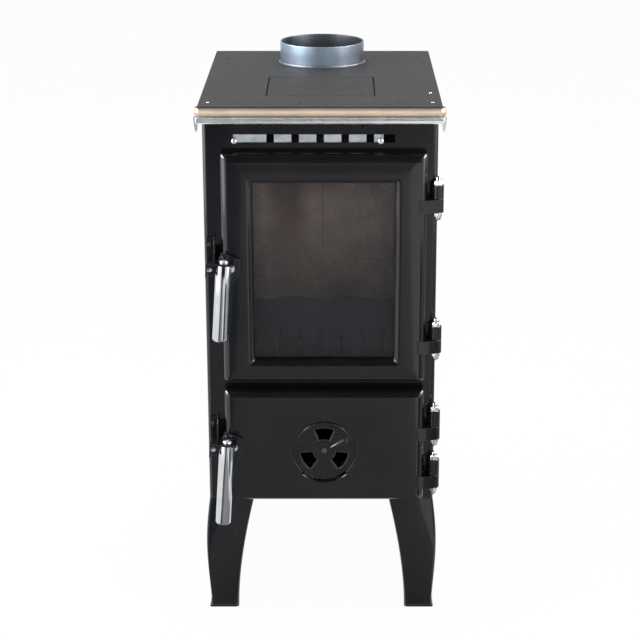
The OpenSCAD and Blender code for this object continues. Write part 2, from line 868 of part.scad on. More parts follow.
// Angle leg with lips: the post hollowed out and open towards the stove's middle
module leg() {
    wide = foot_w + leg_spread;
    flange = 48;
    color(c_black) {
        difference() {
            leg_post(0);
            difference() {
                translate([0, 0, -cut]) leg_post(leg_t);
                translate([-leg_bulge - leg_flare, -leg_bulge - leg_flare, -2 * cut])
                    cube([foot_w + leg_bulge + leg_flare, foot_w + leg_bulge + leg_flare, foot_t + 2 * cut]);
            }
            translate([leg_lip, leg_lip, foot_t]) cube([wide, wide, base_h]);
            translate([leg_t, leg_t, base_h - cut]) cube([foot_w, foot_w, 2 * cut]);
        }
        translate([leg_t, leg_t, base_h - 3]) difference() {
            cube([flange, flange, 3]);
            for (p = leg_bolt_spots) translate([p[0], p[1], -cut]) cylinder(r = 3.3, h = 3 + 2 * cut);
        }
    }
}

leg_bolt_spots = [[36, 13], [13, 36]];

// Puts a corner piece, drawn at the front left corner, at any corner
module at_corner(right, rear) {
    mirror([right, 0, 0]) translate([-body_w / 2, (panel_y + back_y) / 2, 0])
        mirror([0, rear, 0]) translate([0, -body_d / 2, 0]) children();
}

module leg_front_left() {
    at_corner(0, 0) leg();
}

module leg_front_right() {
    at_corner(1, 0) leg();
}

module leg_rear_left() {
    at_corner(0, 1) leg();
}

module leg_rear_right() {
    at_corner(1, 1) leg();
}

module leg_bolts() {
    color(c_zinc) for (right = [0, 1], rear = [0, 1]) at_corner(right, rear)
        for (p = leg_bolt_spots) translate([leg_t + p[0], leg_t + p[1], base_h - 3]) {
            cylinder(r = 3, h = 3);
            translate([0, 0, -4]) hex(10, 4);
        }
}

// ---------- hinges ----------

// Leaf on the casing and the barrel that it carries
module hinge_bracket(z, h) {
    x0 = door_left + door_w + 1.2;
    flat = body_w / 2 - body_r;
    translate([0, 0, z]) difference() {
        translate([0, panel_y, 0]) mirror([0, 1, 0]) linear_extrude(h) {
            polygon([[x0, 0], [flat, 0], [hinge_x + barrel_r / 2, hinge_reach - barrel_r],
                     [hinge_x, hinge_reach], [hinge_x - barrel_r, hinge_reach],
                     [x0 + leaf_t, leaf_t], [x0, leaf_t]]);
            translate([hinge_x, hinge_reach]) circle(r = barrel_r);
        }
        translate([hinge_x, panel_y - hinge_reach, -cut]) cylinder(r = pin_r + pin_play, h = h + 2 * cut);
    }
}

module hinge_brackets() {
    color(c_black) for (k = [0:3]) hinge_bracket(lug_tops[k] + lug_gap, barrels[k]);
}

// Lug that wraps the door's right edge and ends in a barrel
module door_lug(z) {
    right = door_left + door_w;
    lap = 12.5;
    out = 1;
    difference() {
        translate([0, panel_y, z - lug_h]) mirror([0, 1, 0]) linear_extrude(lug_h) {
            polygon([[right - lap, face_reach - door_t], [right - lap, face_reach + out],
                     [right, face_reach + out], [hinge_x + 2, hinge_reach + barrel_r - 0.3],
                     [hinge_x, hinge_reach], [hinge_x - barrel_r, hinge_reach - 3],
                     [right - door_t, hinge_reach - 3], [right - door_t, face_reach - door_t]]);
            translate([hinge_x, hinge_reach]) circle(r = barrel_r);
        }
        translate([door_x, panel_y - door_gap, z - lug_h / 2])
            soft_block(door_w, 4 * lug_h, door_depth, door_r);
        translate([hinge_x, panel_y - hinge_reach, z - lug_h - cut])
            cylinder(r = pin_r + pin_play, h = lug_h + 2 * cut);
    }
}

module fire_door_lugs() {
    color(c_black) for (k = [0, 1]) door_lug(lug_tops[k]);
}

module ash_door_lugs() {
    color(c_black) for (k = [2, 3]) door_lug(lug_tops[k]);
}

module hinge_pins() {
    color(c_zinc) for (k = [0:3])
        translate([hinge_x, panel_y - hinge_reach, lug_tops[k] - lug_h - 0.3])
            cylinder(r = pin_r, h = lug_h + 0.3 + lug_gap + barrels[k]);
}

module acorn_nut() {
    r = nut_af / 2 - 1;
    cap = r - 0.2;
    hex(nut_af, nut_hex);
    translate([0, 0, nut_hex]) cylinder(r = r, h = nut_dome - cap);
    translate([0, 0, nut_hex + nut_dome - cap]) dome(r, cap);
}

module hinge_nuts() {
    color(c_chrome) for (k = [0:3]) translate([hinge_x, panel_y - hinge_reach, 0]) {
        translate([0, 0, lug_tops[k] + lug_gap + barrels[k]]) acorn_nut();
        translate([0, 0, lug_tops[k] - lug_h - 0.3]) mirror([0, 0, 1]) acorn_nut();
    }
}

// ---------- doors ----------

// Pressed sheet door, open behind, with its back rim at y = 0
module door_dish(h) {
    difference() {
        soft_block(door_w, h, door_depth, door_r);
        soft_block(door_w - 2 * door_t, h - 2 * door_t, door_depth - door_t, door_r - door_t, cut);
    }
}

// Quarter-round lip along one edge of the glass opening, running along z
module lip_bar(len) {
    translate([0, 0, -len / 2]) intersection() {
        translate([lip_r, lip_r, 0]) cylinder(r = lip_r, h = len);
        cube([lip_r, lip_r, len]);
    }
}

module glass_lip() {
    for (m = [0, 1]) {
        mirror([m, 0, 0]) translate([glass_w / 2, 0, 0]) lip_bar(glass_h + 2 * lip_r);
        mirror([0, 0, m]) translate([0, 0, glass_h / 2]) rotate([0, -90, 0]) lip_bar(glass_w + 2 * lip_r);
    }
}

module fire_door_panel() {
    color(c_enamel) translate([door_x, panel_y - door_gap, fire_mid]) {
        difference() {
            door_dish(fire_h);
            slab(0, -door_depth - cut, glass_rise - glass_h / 2 - lip_r,
                 glass_w + 2 * lip_r, door_depth, glass_h + 2 * lip_r);
        }
        translate([0, -door_depth, glass_rise]) glass_lip();
        glass_bosses(door_t, glass_back - door_t);
    }
}

// Pegs behind the door's skin that the glass clips are screwed to
module glass_bosses(from, len) {
    for (sx = [-1, 1], sz = [-1, 1])
        translate([sx * clip_x, from - door_depth, glass_rise + sz * clip_rise])
            rotate([-90, 0, 0]) cylinder(r = boss_r, h = len);
}

module in_fire_door(depth) {
    translate([door_x, face_y + depth, fire_mid + glass_rise]) children();
}

module glass_gasket() {
    color(c_rope) in_fire_door(lip_r)
        flat_ring(glass_w + 2 * gasket_w + 1, glass_h + 2 * gasket_w + 1, glass_w + 1, glass_h + 1, gasket_t);
}

module fire_glass() {
    color(c_glass, 0.45) in_fire_door(glass_front) slab(0, 0, -pane_h / 2, pane_w, glass_t, pane_h);
}

module glass_clips() {
    inner = pane_w / 2 - 5;
    color(c_zinc) in_fire_door(glass_back) for (sx = [-1, 1], sz = [-1, 1])
        slab(sx * (inner + clip_x + boss_r) / 2, 0, sz * clip_rise - clip_w / 2,
             clip_x + boss_r - inner, clip_t, clip_w);
}

module clip_screws() {
    color(c_chrome) in_fire_door(glass_back + clip_t) for (sx = [-1, 1], sz = [-1, 1])
        translate([sx * clip_x, 0, sz * clip_rise]) rotate([-90, 0, 0]) dome(3.5, 2.2);
}

// Frame inside a door that holds the rope: a floor and an inner rib
module seal_channel(h) {
    w = door_w - 2 * door_t;
    t = h - 2 * door_t;
    wide = rope_d + 2 * rope_play;
    floor_y = panel_y - rope_back;
    color(c_black) {
        translate([door_x, floor_y - channel_t, 0])
            flat_ring(w, t, w - 2 * wide - 2 * channel_t, t - 2 * wide - 2 * channel_t, channel_t);
        translate([door_x, floor_y, 0])
            flat_ring(w - 2 * wide, t - 2 * wide, w - 2 * wide - 2 * channel_t,
                      t - 2 * wide - 2 * channel_t, channel_rib);
    }
}

// Round rope laid in a rectangle with round corners
module rope_ring(h) {
    r = rope_d / 2;
    w2 = door_w / 2 - door_t - rope_play - r;
    h2 = h / 2 - door_t - rope_play - r;
    color(c_rope) translate([door_x, panel_y - rope_play - r, 0]) {
        for (sx = [-1, 1]) {
            translate([sx * w2, 0, rope_bend - h2]) cylinder(r = r, h = 2 * (h2 - rope_bend));
            translate([rope_bend - w2, 0, sx * h2]) rotate([0, 90, 0]) cylinder(r = r, h = 2 * (w2 - rope_bend));
        }
        for (a = [0:90:270]) {
            cx = (a == 0 || a == 270) ? w2 - rope_bend : rope_bend - w2;
            cz = a < 180 ? h2 - rope_bend : rope_bend - h2;
            translate([cx, 0, cz]) rotate([90, 0, 0]) rotate([0, 0, a])
                rotate_extrude(angle = 90) translate([rope_bend, 0]) circle(r = r);
        }
    }
}

module fire_seal_channel() {
    translate([0, 0, fire_mid]) seal_channel(fire_h);
}

module fire_door_seal() {
    translate([0, 0, fire_mid]) rope_ring(fire_h);
}

module ash_seal_channel() {
    translate([0, 0, ash_mid]) seal_channel(ash_h);
}

module ash_door_seal() {
    translate([0, 0, ash_mid]) rope_ring(ash_h);
}

// ---------- air valve ----------

module on_valve(depth) {
    translate([door_x, face_y + depth, ash_mid - valve_drop]) face_on() children();
}

module valve_windows(h) {
    for (k = [0:windows - 1]) ring_slice(window_r0, window_r1, window_half, 90 + k * 360 / windows, h);
}

// Recess with a lower pocket, slotted through, for the disc's stop
module valve_recess(extra, h) {
    pocket_half = valve_turn / 2 + 13;
    cylinder(r = valve_r + extra, h = h);
    ring_slice(valve_r / 2, valve_r + pocket_extra + extra, pocket_half + 2 * extra, 270, h);
}

module ash_door_panel() {
    color(c_enamel) difference() {
        union() {
            translate([door_x, panel_y - door_gap, ash_mid]) door_dish(ash_h);
            on_valve(valve_sink + door_t) valve_recess(door_t, valve_sink + door_t / 2);
        }
        on_valve(valve_sink) valve_recess(0, valve_sink + cut);
        on_valve(valve_sink + door_t + cut) {
            valve_windows(valve_sink + door_t + 2 * cut);
            cylinder(r = rivet_r + pin_play, h = valve_sink + door_t + 2 * cut);
            ring_slice(disc_r - 2, valve_r + pocket_extra - 0.5, valve_turn / 2 + 12, 270,
                       valve_sink + door_t + 2 * cut);
        }
    }
}

// Turning disc: windows with a thinner border, tapered finger ridge and a stop at its lower left
module air_valve() {
    floor_gap = 0.35;
    full_t = disc_t + disc_step;
    color("#3a3d42") on_valve(valve_sink - floor_gap) difference() {
        union() {
            cylinder(r = disc_r, h = full_t);
            ring_slice(disc_r / 2, valve_r + pocket_extra - 1, 10, 270 - valve_turn / 2, disc_t);
            rotate([0, 0, 27]) finger_ridge();
        }
        for (k = [0:windows - 1]) translate([0, 0, disc_t])
            ring_slice(window_r0 - step_w, window_r1 + step_w, window_half + 4, 90 + k * 360 / windows, disc_step + cut);
        translate([0, 0, -cut]) {
            valve_windows(full_t + 2 * cut);
            cylinder(r = rivet_r + pin_play, h = full_t + 2 * cut);
        }
    }
}

module finger_ridge() {
    tall = 6.5;
    near = 9;
    far = 37.5;
    rotate([90, 0, 0]) intersection() {
        translate([0, 0, -4]) linear_extrude(8)
            polygon([[near, 0], [far, 0], [far, tall - 1], [far - 1.5, tall], [near + 2, disc_t + disc_step + 0.7]]);
        rotate([-90, 0, 0]) linear_extrude(tall)
            polygon([[near, -0.7], [far - 4.5, -3.6], [far, -3], [far, 3], [far - 4.5, 3.6], [near, 0.7]]);
    }
}

module valve_rivet() {
    head = 5.5;
    lift = valve_sink - 0.35 - disc_t - disc_step - 0.3;
    color(c_chrome) {
        on_valve(valve_sink + door_t) cylinder(r = rivet_r, h = valve_sink + door_t - lift);
        on_valve(lift) dome(head, 2.5);
        on_valve(valve_sink + door_t + 1) cylinder(r = head - 1, h = 1);
    }
}

// ---------- latches ----------

// Pressed lever in its own plane: hub and nose behind, a web on top and a cheek at the left
module latch_lever() {
    web_x0 = -34.5;
    nose_r = 10;
    web_x1 = 4.5;
    cheek_h = 20;
    top_left = [-14, 23];
    top_right = [12, 14];
    difference() {
        union() {
            face_on() linear_extrude(lever_t) {
                translate([web_x0 + nose_r, -3.5]) circle(r = nose_r);
                translate([web_x0, -3.5]) square([-hub_r - web_x0 + 1, grip_drop - lever_t + 3.5]);
                translate([0, -5.5]) circle(r = hub_r);
                polygon([[-hub_r, -5.5], [hub_r, -5.5], top_right, top_left, [-18.5, 9.3], [-18.5, 6]]);
            }
            translate([web_x0, -lever_t - web_d, grip_drop - lever_t])
                cube([web_x1 - web_x0, web_d + lever_t, lever_t]);
            translate([web_x0, -lever_t - web_d, grip_drop - cheek_h])
                cube([2.2, web_d - 2, cheek_h]);
        }
        translate([0, cut, 0]) face_on() cylinder(r = pivot_r + pin_play, h = lever_t + 2 * cut);
    }
}

grip_x = -9.5;
grip_y = grip_r + 1 - lever_t - web_d;

// Tube grip hung under the web, with a closed, rounded lower end
module tube_grip(len) {
    color(c_chrome) translate([grip_x, grip_y, grip_drop - lever_t]) mirror([0, 0, 1]) difference() {
        rotate_extrude() {
            square([grip_r, len - grip_round]);
            square([grip_r - grip_round, len]);
            translate([grip_r - grip_round, len - grip_round]) circle(r = grip_round);
        }
        translate([0, 0, 20]) cylinder(r = grip_r - grip_wall, h = len - 30);
    }
}

// Bolt head and washer over the grip, and the latch pin with its nut on the cheek
module grip_bolts() {
    pin_len = 12;
    cheek = -34.5 + 2.2;
    color(c_chrome) {
        translate([grip_x, grip_y, grip_drop]) cylinder(r = 6.5, h = 1);
        translate([grip_x, grip_y, grip_drop + 1]) button(5.5, 2.2);
        translate([cheek, -lever_t - 12, 0.5]) rotate([0, 90, 0]) cylinder(r = 3.4, h = 4);
        translate([cheek + 4, -lever_t - 12, 0.5]) rotate([0, 90, 0]) dome(3.4, 3);
    }
}

module on_lever(z) {
    translate([pivot_x, lever_y, z]) rotate([0, lean, 0]) children();
}

module fire_latch_lever() {
    color(c_black) on_lever(fire_pivot_z) latch_lever();
}

module fire_grip() {
    on_lever(fire_pivot_z) tube_grip(fire_grip_h);
}

module fire_grip_bolts() {
    on_lever(fire_pivot_z) grip_bolts();
}

module ash_latch_lever() {
    color(c_black) on_lever(ash_pivot_z) latch_lever();
}

module ash_grip() {
    on_lever(ash_pivot_z) tube_grip(ash_grip_h);
}

module ash_grip_bolts() {
    on_lever(ash_pivot_z) grip_bolts();
}

// Shouldered rivet with a flat head through the lever's hub into the door's face
module latch_pivot(z, mid, h) {
    head_gap = 0.3;
    color(c_zinc) {
        translate([pivot_x, lever_y, z]) {
            translate([0, cut, 0]) face_on() cylinder(r = pivot_r, h = lever_t + head_gap + cut);
            translate([0, -lever_t - head_gap, 0]) face_on() cylinder(r = pivot_r + 1.5, h = 1);
        }
        difference() {
            translate([pivot_x, lever_y + 0.3 + door_depth / 2, z]) face_on()
                cylinder(r = pivot_r + 3, h = door_depth / 2);
            translate([door_x, panel_y - door_gap, mid]) soft_block(door_w, h, door_depth, door_r, cut);
        }
    }
}

module fire_latch_pivot() {
    latch_pivot(fire_pivot_z, fire_mid, fire_h);
}

module ash_latch_pivot() {
    latch_pivot(ash_pivot_z, ash_mid, ash_h);
}

// Angle on the casing: a screwed base and an upright flange beside the door
module catch_angle(z) {
    x1 = door_left - 8.5;
    w = 14;
    color(c_black) translate([0, panel_y, z + catch_rise - catch_h]) {
        translate([x1 - w, -catch_t, 0]) cube([w, catch_t, catch_h]);
        translate([x1, 0, 0]) rotate([0, -90, 0]) linear_extrude(catch_t)
            polygon([[0, 0], [0, -catch_reach], [catch_h - 5, -catch_reach], [catch_h, -catch_reach + 8],
                     [catch_h, 0]]);
    }
}

module fire_catch() {
    catch_angle(fire_pivot_z);
}

module ash_catch() {
    catch_angle(ash_pivot_z);
}

module catch_screws() {
    x = door_left - 8.5 - 9.5;
    color(c_chrome) for (z = [fire_pivot_z, ash_pivot_z], dz = [11.5, catch_h - 8])
        translate([x, panel_y - catch_t, z + catch_rise - dz]) face_on() dome(3, 2);
}

// ---------- the nodes ----------

casing();
back_panel();
base_plate();
cooking_plate();
lid_ledge();
flue_collar();
edge_trim();
towel_rail();
rail_brackets();
plate_screws();
air_grille();
front_frame();
firebox_shell();
firebrick_left();
firebrick_right();
firebrick_back();
grate_tray();
grate();
log_retainer();
smoke_baffle();
ash_pan();
ash_pan_pull();
leg_front_left();
leg_front_right();
leg_rear_left();
leg_rear_right();
leg_bolts();
fire_catch();
ash_catch();
catch_screws();
back_screws();
hinge_brackets();
hinge_pins();
hinge_nuts();
cooking_lid();
air_slider();
slider_knobs();
fire_door_panel();
fire_glass();
glass_gasket();
glass_clips();
clip_screws();
fire_seal_channel();
fire_door_seal();
fire_door_lugs();
fire_latch_pivot();
fire_latch_lever();
fire_grip();
fire_grip_bolts();
ash_door_panel();
ash_seal_channel();
ash_door_seal();
ash_door_lugs();
ash_latch_pivot();
valve_rivet();
air_valve();
ash_latch_lever();
ash_grip();
ash_grip_bolts();
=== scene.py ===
"""Looks of a small solid-fuel cooking stove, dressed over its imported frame.

Shapes are worked out in millimetres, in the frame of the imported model, and enter the
meshes in metres. X runs to the right, Y to the back and Z up. "Depth" runs backwards
from a door's face. Finishes and the stage are in metres.
"""
import json

import bmesh
import bpy
import numpy as np
from bpy.props import FloatProperty, FloatVectorProperty, IntProperty, PointerProperty
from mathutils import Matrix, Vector


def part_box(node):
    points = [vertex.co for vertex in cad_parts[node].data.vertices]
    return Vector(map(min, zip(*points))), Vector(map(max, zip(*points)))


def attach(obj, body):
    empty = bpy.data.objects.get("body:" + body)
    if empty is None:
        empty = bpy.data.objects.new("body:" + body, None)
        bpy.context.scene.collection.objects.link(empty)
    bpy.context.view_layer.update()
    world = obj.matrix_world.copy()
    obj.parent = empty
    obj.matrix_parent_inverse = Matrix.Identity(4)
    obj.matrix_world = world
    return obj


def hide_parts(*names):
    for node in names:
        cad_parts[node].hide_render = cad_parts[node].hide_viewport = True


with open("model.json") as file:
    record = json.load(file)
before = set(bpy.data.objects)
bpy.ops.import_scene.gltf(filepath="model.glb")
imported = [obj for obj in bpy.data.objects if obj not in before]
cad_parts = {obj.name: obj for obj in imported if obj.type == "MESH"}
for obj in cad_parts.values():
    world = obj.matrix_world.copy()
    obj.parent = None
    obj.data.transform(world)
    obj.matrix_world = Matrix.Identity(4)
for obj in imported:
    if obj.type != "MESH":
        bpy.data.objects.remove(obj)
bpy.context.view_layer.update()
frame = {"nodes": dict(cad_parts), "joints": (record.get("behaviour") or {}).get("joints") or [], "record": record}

bl_info = {
    "name": "Solid-fuel Cooking Stove",
    "version": (1, 0, 0),
    "blender": (4, 5, 0),
    "location": "3D View > Sidebar > Stove",
    "description": "Pressed doors, air valve, legs, chrome and finishes of a small cooking stove",
    "category": "Object",
}

MM = 0.001
RIGHT, BACK, FRONT, UP = (1, 0, 0), (0, 1, 0), (0, -1, 0), (0, 0, 1)
NODES = frame["nodes"]
BODY_OF = {node: body for body, nodes in frame["record"]["behaviour"]["bodies"].items() for node in nodes}


# ---------- places read from the frame ----------

def box_of(node):
    """Lowest corner, highest corner and middle of a node at rest, in millimetres."""
    low, high = (np.array(corner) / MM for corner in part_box(node))
    return low, high, (low + high) / 2


def front_spans(node):
    """Width and height of a node, in millimetres."""
    low, high, _ = box_of(node)
    return (high - low)[[0, 2]]


def joint_place(name):
    """A joint's point, in millimetres."""
    return next(np.array(j["pos_m"]) / MM for j in frame["joints"] if j["name"] == name)


def edge_places(node, inset, levels=2):
    """Places (x, z) inside the left and right edges of a node's box, at evenly spaced levels."""
    low, high, _ = box_of(node)
    return [(x, z) for x in (low[0] + inset, high[0] - inset)
            for z in np.linspace(low[2] + inset, high[2] - inset, levels)]


# ---------- lines ----------

def full_turn(steps):
    """Evenly spaced angles of a whole turn, in radians."""
    return 2 * np.pi * np.arange(steps) / steps


def unit(vectors):
    return vectors / np.linalg.norm(vectors, axis=-1, keepdims=True)


def ring_directions(points):
    """Unit direction along a closed line at each of its points, taken from its two neighbours."""
    return unit(np.roll(points, -1, 0) - np.roll(points, 1, 0))


def frame_round(axis):
    """An axis as a unit vector, and two unit vectors square to it and to each other."""
    axis = unit(np.asarray(axis, float))
    helper = UP if abs(axis[2]) < 0.9 else RIGHT
    across = unit(np.cross(helper, axis))
    return axis, across, np.cross(axis, across)


def line(start, end, steps=12):
    """Evenly spaced points from one to another."""
    share = np.linspace(0, 1, steps)[:, None]
    return np.asarray(start) * (1 - share) + np.asarray(end) * share


def arc(centre, radius, start, end, steps=8):
    """Points (x, y) of a circular arc, angles in degrees."""
    angle = np.radians(np.linspace(start, end, steps + 1))
    return np.asarray(centre) + radius * np.stack([np.cos(angle), np.sin(angle)], -1)


def upright_loop(spans, radius, middle, y, side_steps, corner_steps=5):
    """Rectangle with round corners in the plane of X and Z: four quarter circles, and evenly shared points
    between them. Its spans are its width and height."""
    signs = np.array([[1, 1], [-1, 1], [-1, -1], [1, -1]], float)
    centre = signs * (np.asarray(spans) / 2 - radius)
    corner = np.stack([arc(c, radius, 90 * k, 90 * k + 90, corner_steps) for k, c in enumerate(centre)])
    share = (np.arange(1, side_steps + 1) / (side_steps + 1))[None, :, None]
    side = corner[:, -1:] * (1 - share) + np.roll(corner[:, :1], -1, 0) * share
    x, z = np.concatenate([corner, side], 1).reshape(-1, 2).T
    return np.stack([middle[0] + x, np.full(len(x), y), middle[2] + z], -1)


def smooth_step(value, low, high):
    """0 below low, 1 above high, and the cubic t * t * (3 - 2 t) between."""
    t = np.clip((value - low) / (high - low), 0, 1)
    return t * t * (3 - 2 * t)


# ---------- surfaces as grids ----------

def skin(points, close_rows=False, close_columns=False):
    """Quads between neighbouring points of a grid (rows, columns, 3).

    A closed direction joins its last row or column to the first.
    """
    points = np.asarray(points, float)
    rows, columns = points.shape[:2]
    index = np.arange(rows * columns).reshape(rows, columns)
    below = np.roll(index, -1, 0)
    quads = np.stack([index, below, np.roll(below, -1, 1), np.roll(index, -1, 1)], -1)
    quads = quads[:rows if close_rows else rows - 1, :columns if close_columns else columns - 1]
    return points.reshape(-1, 3), quads.reshape(-1, 4)


def turned(profile, origin, axis=UP, steps=48, wave=None):
    """Surface of revolution: origin + height * axis + radius * (cos a * u + sin a * v).

    The profile's points are (radius, height). wave(height, angle) is added to the radius where it is given.
    """
    profile = np.asarray(profile, float)
    axis, u, v = frame_round(axis)
    angle = full_turn(steps)
    radius, height = profile[:, :1], profile[:, 1:]
    if wave:
        radius = radius + wave(height, angle[None, :]) * (radius > 0)
    round_axis = np.cos(angle)[:, None] * u + np.sin(angle)[:, None] * v
    points = np.asarray(origin, float) + height[..., None] * axis + radius[..., None] * round_axis
    return skin(points, close_columns=True)


def swept(path, section, out, up):
    """A section (outwards, upwards) carried along a path, with its own outward direction at each point."""
    return path[:, None] + section[:, :1] * out[:, None] + section[:, 1:] * np.asarray(up, float)


def capped(points):
    """A grid whose first and last rows are drawn together to their middle points."""
    first, last = (np.repeat(row.mean(0)[None, None], len(row), 1) for row in (points[0], points[-1]))
    return np.concatenate([first, points, last])


def cut_plate(top, bottom, open_cells):
    """Closed plate between two grids (rows, columns, 3), closed round its columns, with cells left out.

    Every cell edge that borders a left-out cell or the grid's end gets a wall.
    """
    rows, columns = top.shape[:2]
    index = np.arange(rows * columns).reshape(rows, columns)
    ring = np.roll(index, -1, 1)
    cell = np.stack([index[:-1], index[1:], ring[1:], ring[:-1]], -1)
    solid = ~open_cells
    padded = np.pad(solid, ((1, 1), (0, 0)))
    faces = [cell[solid], cell[solid][:, ::-1] + rows * columns]
    for neighbour, first, second in ((padded[:-2], 0, 3), (padded[2:], 2, 1),
                                     (np.roll(solid, 1, 1), 1, 0), (np.roll(solid, -1, 1), 3, 2)):
        a, b = cell[solid & ~neighbour][:, [first, second]].T
        faces.append(np.stack([a, b, b + rows * columns, a + rows * columns], -1))
    return np.concatenate([top.reshape(-1, 3), bottom.reshape(-1, 3)]), np.concatenate(faces)


def block(low, high):
    """A box between two corners, as a closed grid."""
    ring = [(low[0], low[1]), (high[0], low[1]), (high[0], high[1]), (low[0], high[1])]
    points = np.array([[(x, y, z) for x, y in ring] for z in (low[2], high[2])], float)
    return skin(capped(points), close_columns=True)


# ---------- pieces ----------

def make_piece(name, skins, node, finish, sharp=40):
    """Welds each closed surface, turns its faces outwards and joins them into a piece in place of a node."""
    whole = bmesh.new()
    for points, quads in skins:
        part = bpy.data.meshes.new("part")
        part.from_pydata((points * MM).tolist(), [], quads.tolist())
        shell = bmesh.new()
        shell.from_mesh(part)
        bmesh.ops.remove_doubles(shell, verts=shell.verts, dist=2e-7)
        bmesh.ops.dissolve_degenerate(shell, edges=shell.edges, dist=1e-8)
        bmesh.ops.recalc_face_normals(shell, faces=shell.faces)
        shell.to_mesh(part)
        shell.free()
        whole.from_mesh(part)
        bpy.data.meshes.remove(part)
    mesh = bpy.data.meshes.new(name)
    whole.to_mesh(mesh)
    whole.free()
    return settle(name, mesh, node, finish, sharp)


def settle(name, mesh, node, finish, sharp):
    """Puts a smooth mesh in the scene in place of a node, on that node's body. Edges are sharp beyond an
    angle in degrees."""
    mesh.shade_smooth()
    mesh.set_sharp_from_angle(angle=np.radians(sharp))
    paint(mesh, finish)
    piece = bpy.data.objects.new(name, mesh)
    bpy.context.scene.collection.objects.link(piece)
    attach(piece, BODY_OF[node])
    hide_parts(node)
    return piece


def softened(node, finish, width, sharp=32.0):
    """A copy of a node with welded corners and joined flats, whose edges a bevel rounds."""
    mesh = NODES[node].data.copy()
    mesh.name = node + "_soft"
    shell = bmesh.new()
    shell.from_mesh(mesh)
    bmesh.ops.remove_doubles(shell, verts=shell.verts, dist=2e-6)
    bmesh.ops.dissolve_limit(shell, angle_limit=np.radians(0.8), verts=shell.verts, edges=shell.edges)
    shell.to_mesh(mesh)
    shell.free()
    if "custom_normal" in mesh.attributes:
        mesh.attributes.remove(mesh.attributes["custom_normal"])
    bevel = settle(mesh.name, mesh, node, finish, sharp).modifiers.new("Rounded edges", "BEVEL")
    bevel.width = width * MM
    bevel.segments = 3
    bevel.limit_method = "ANGLE"
    bevel.angle_limit = np.radians(sharp)
    bevel.harden_normals = True
    bevel.use_clamp_overlap = True


def paint(mesh, finish):
    """Gives a mesh one finish and no other."""
    mesh.materials.clear()
    mesh.materials.append(FINISHES[finish])


# ---------- finishes ----------

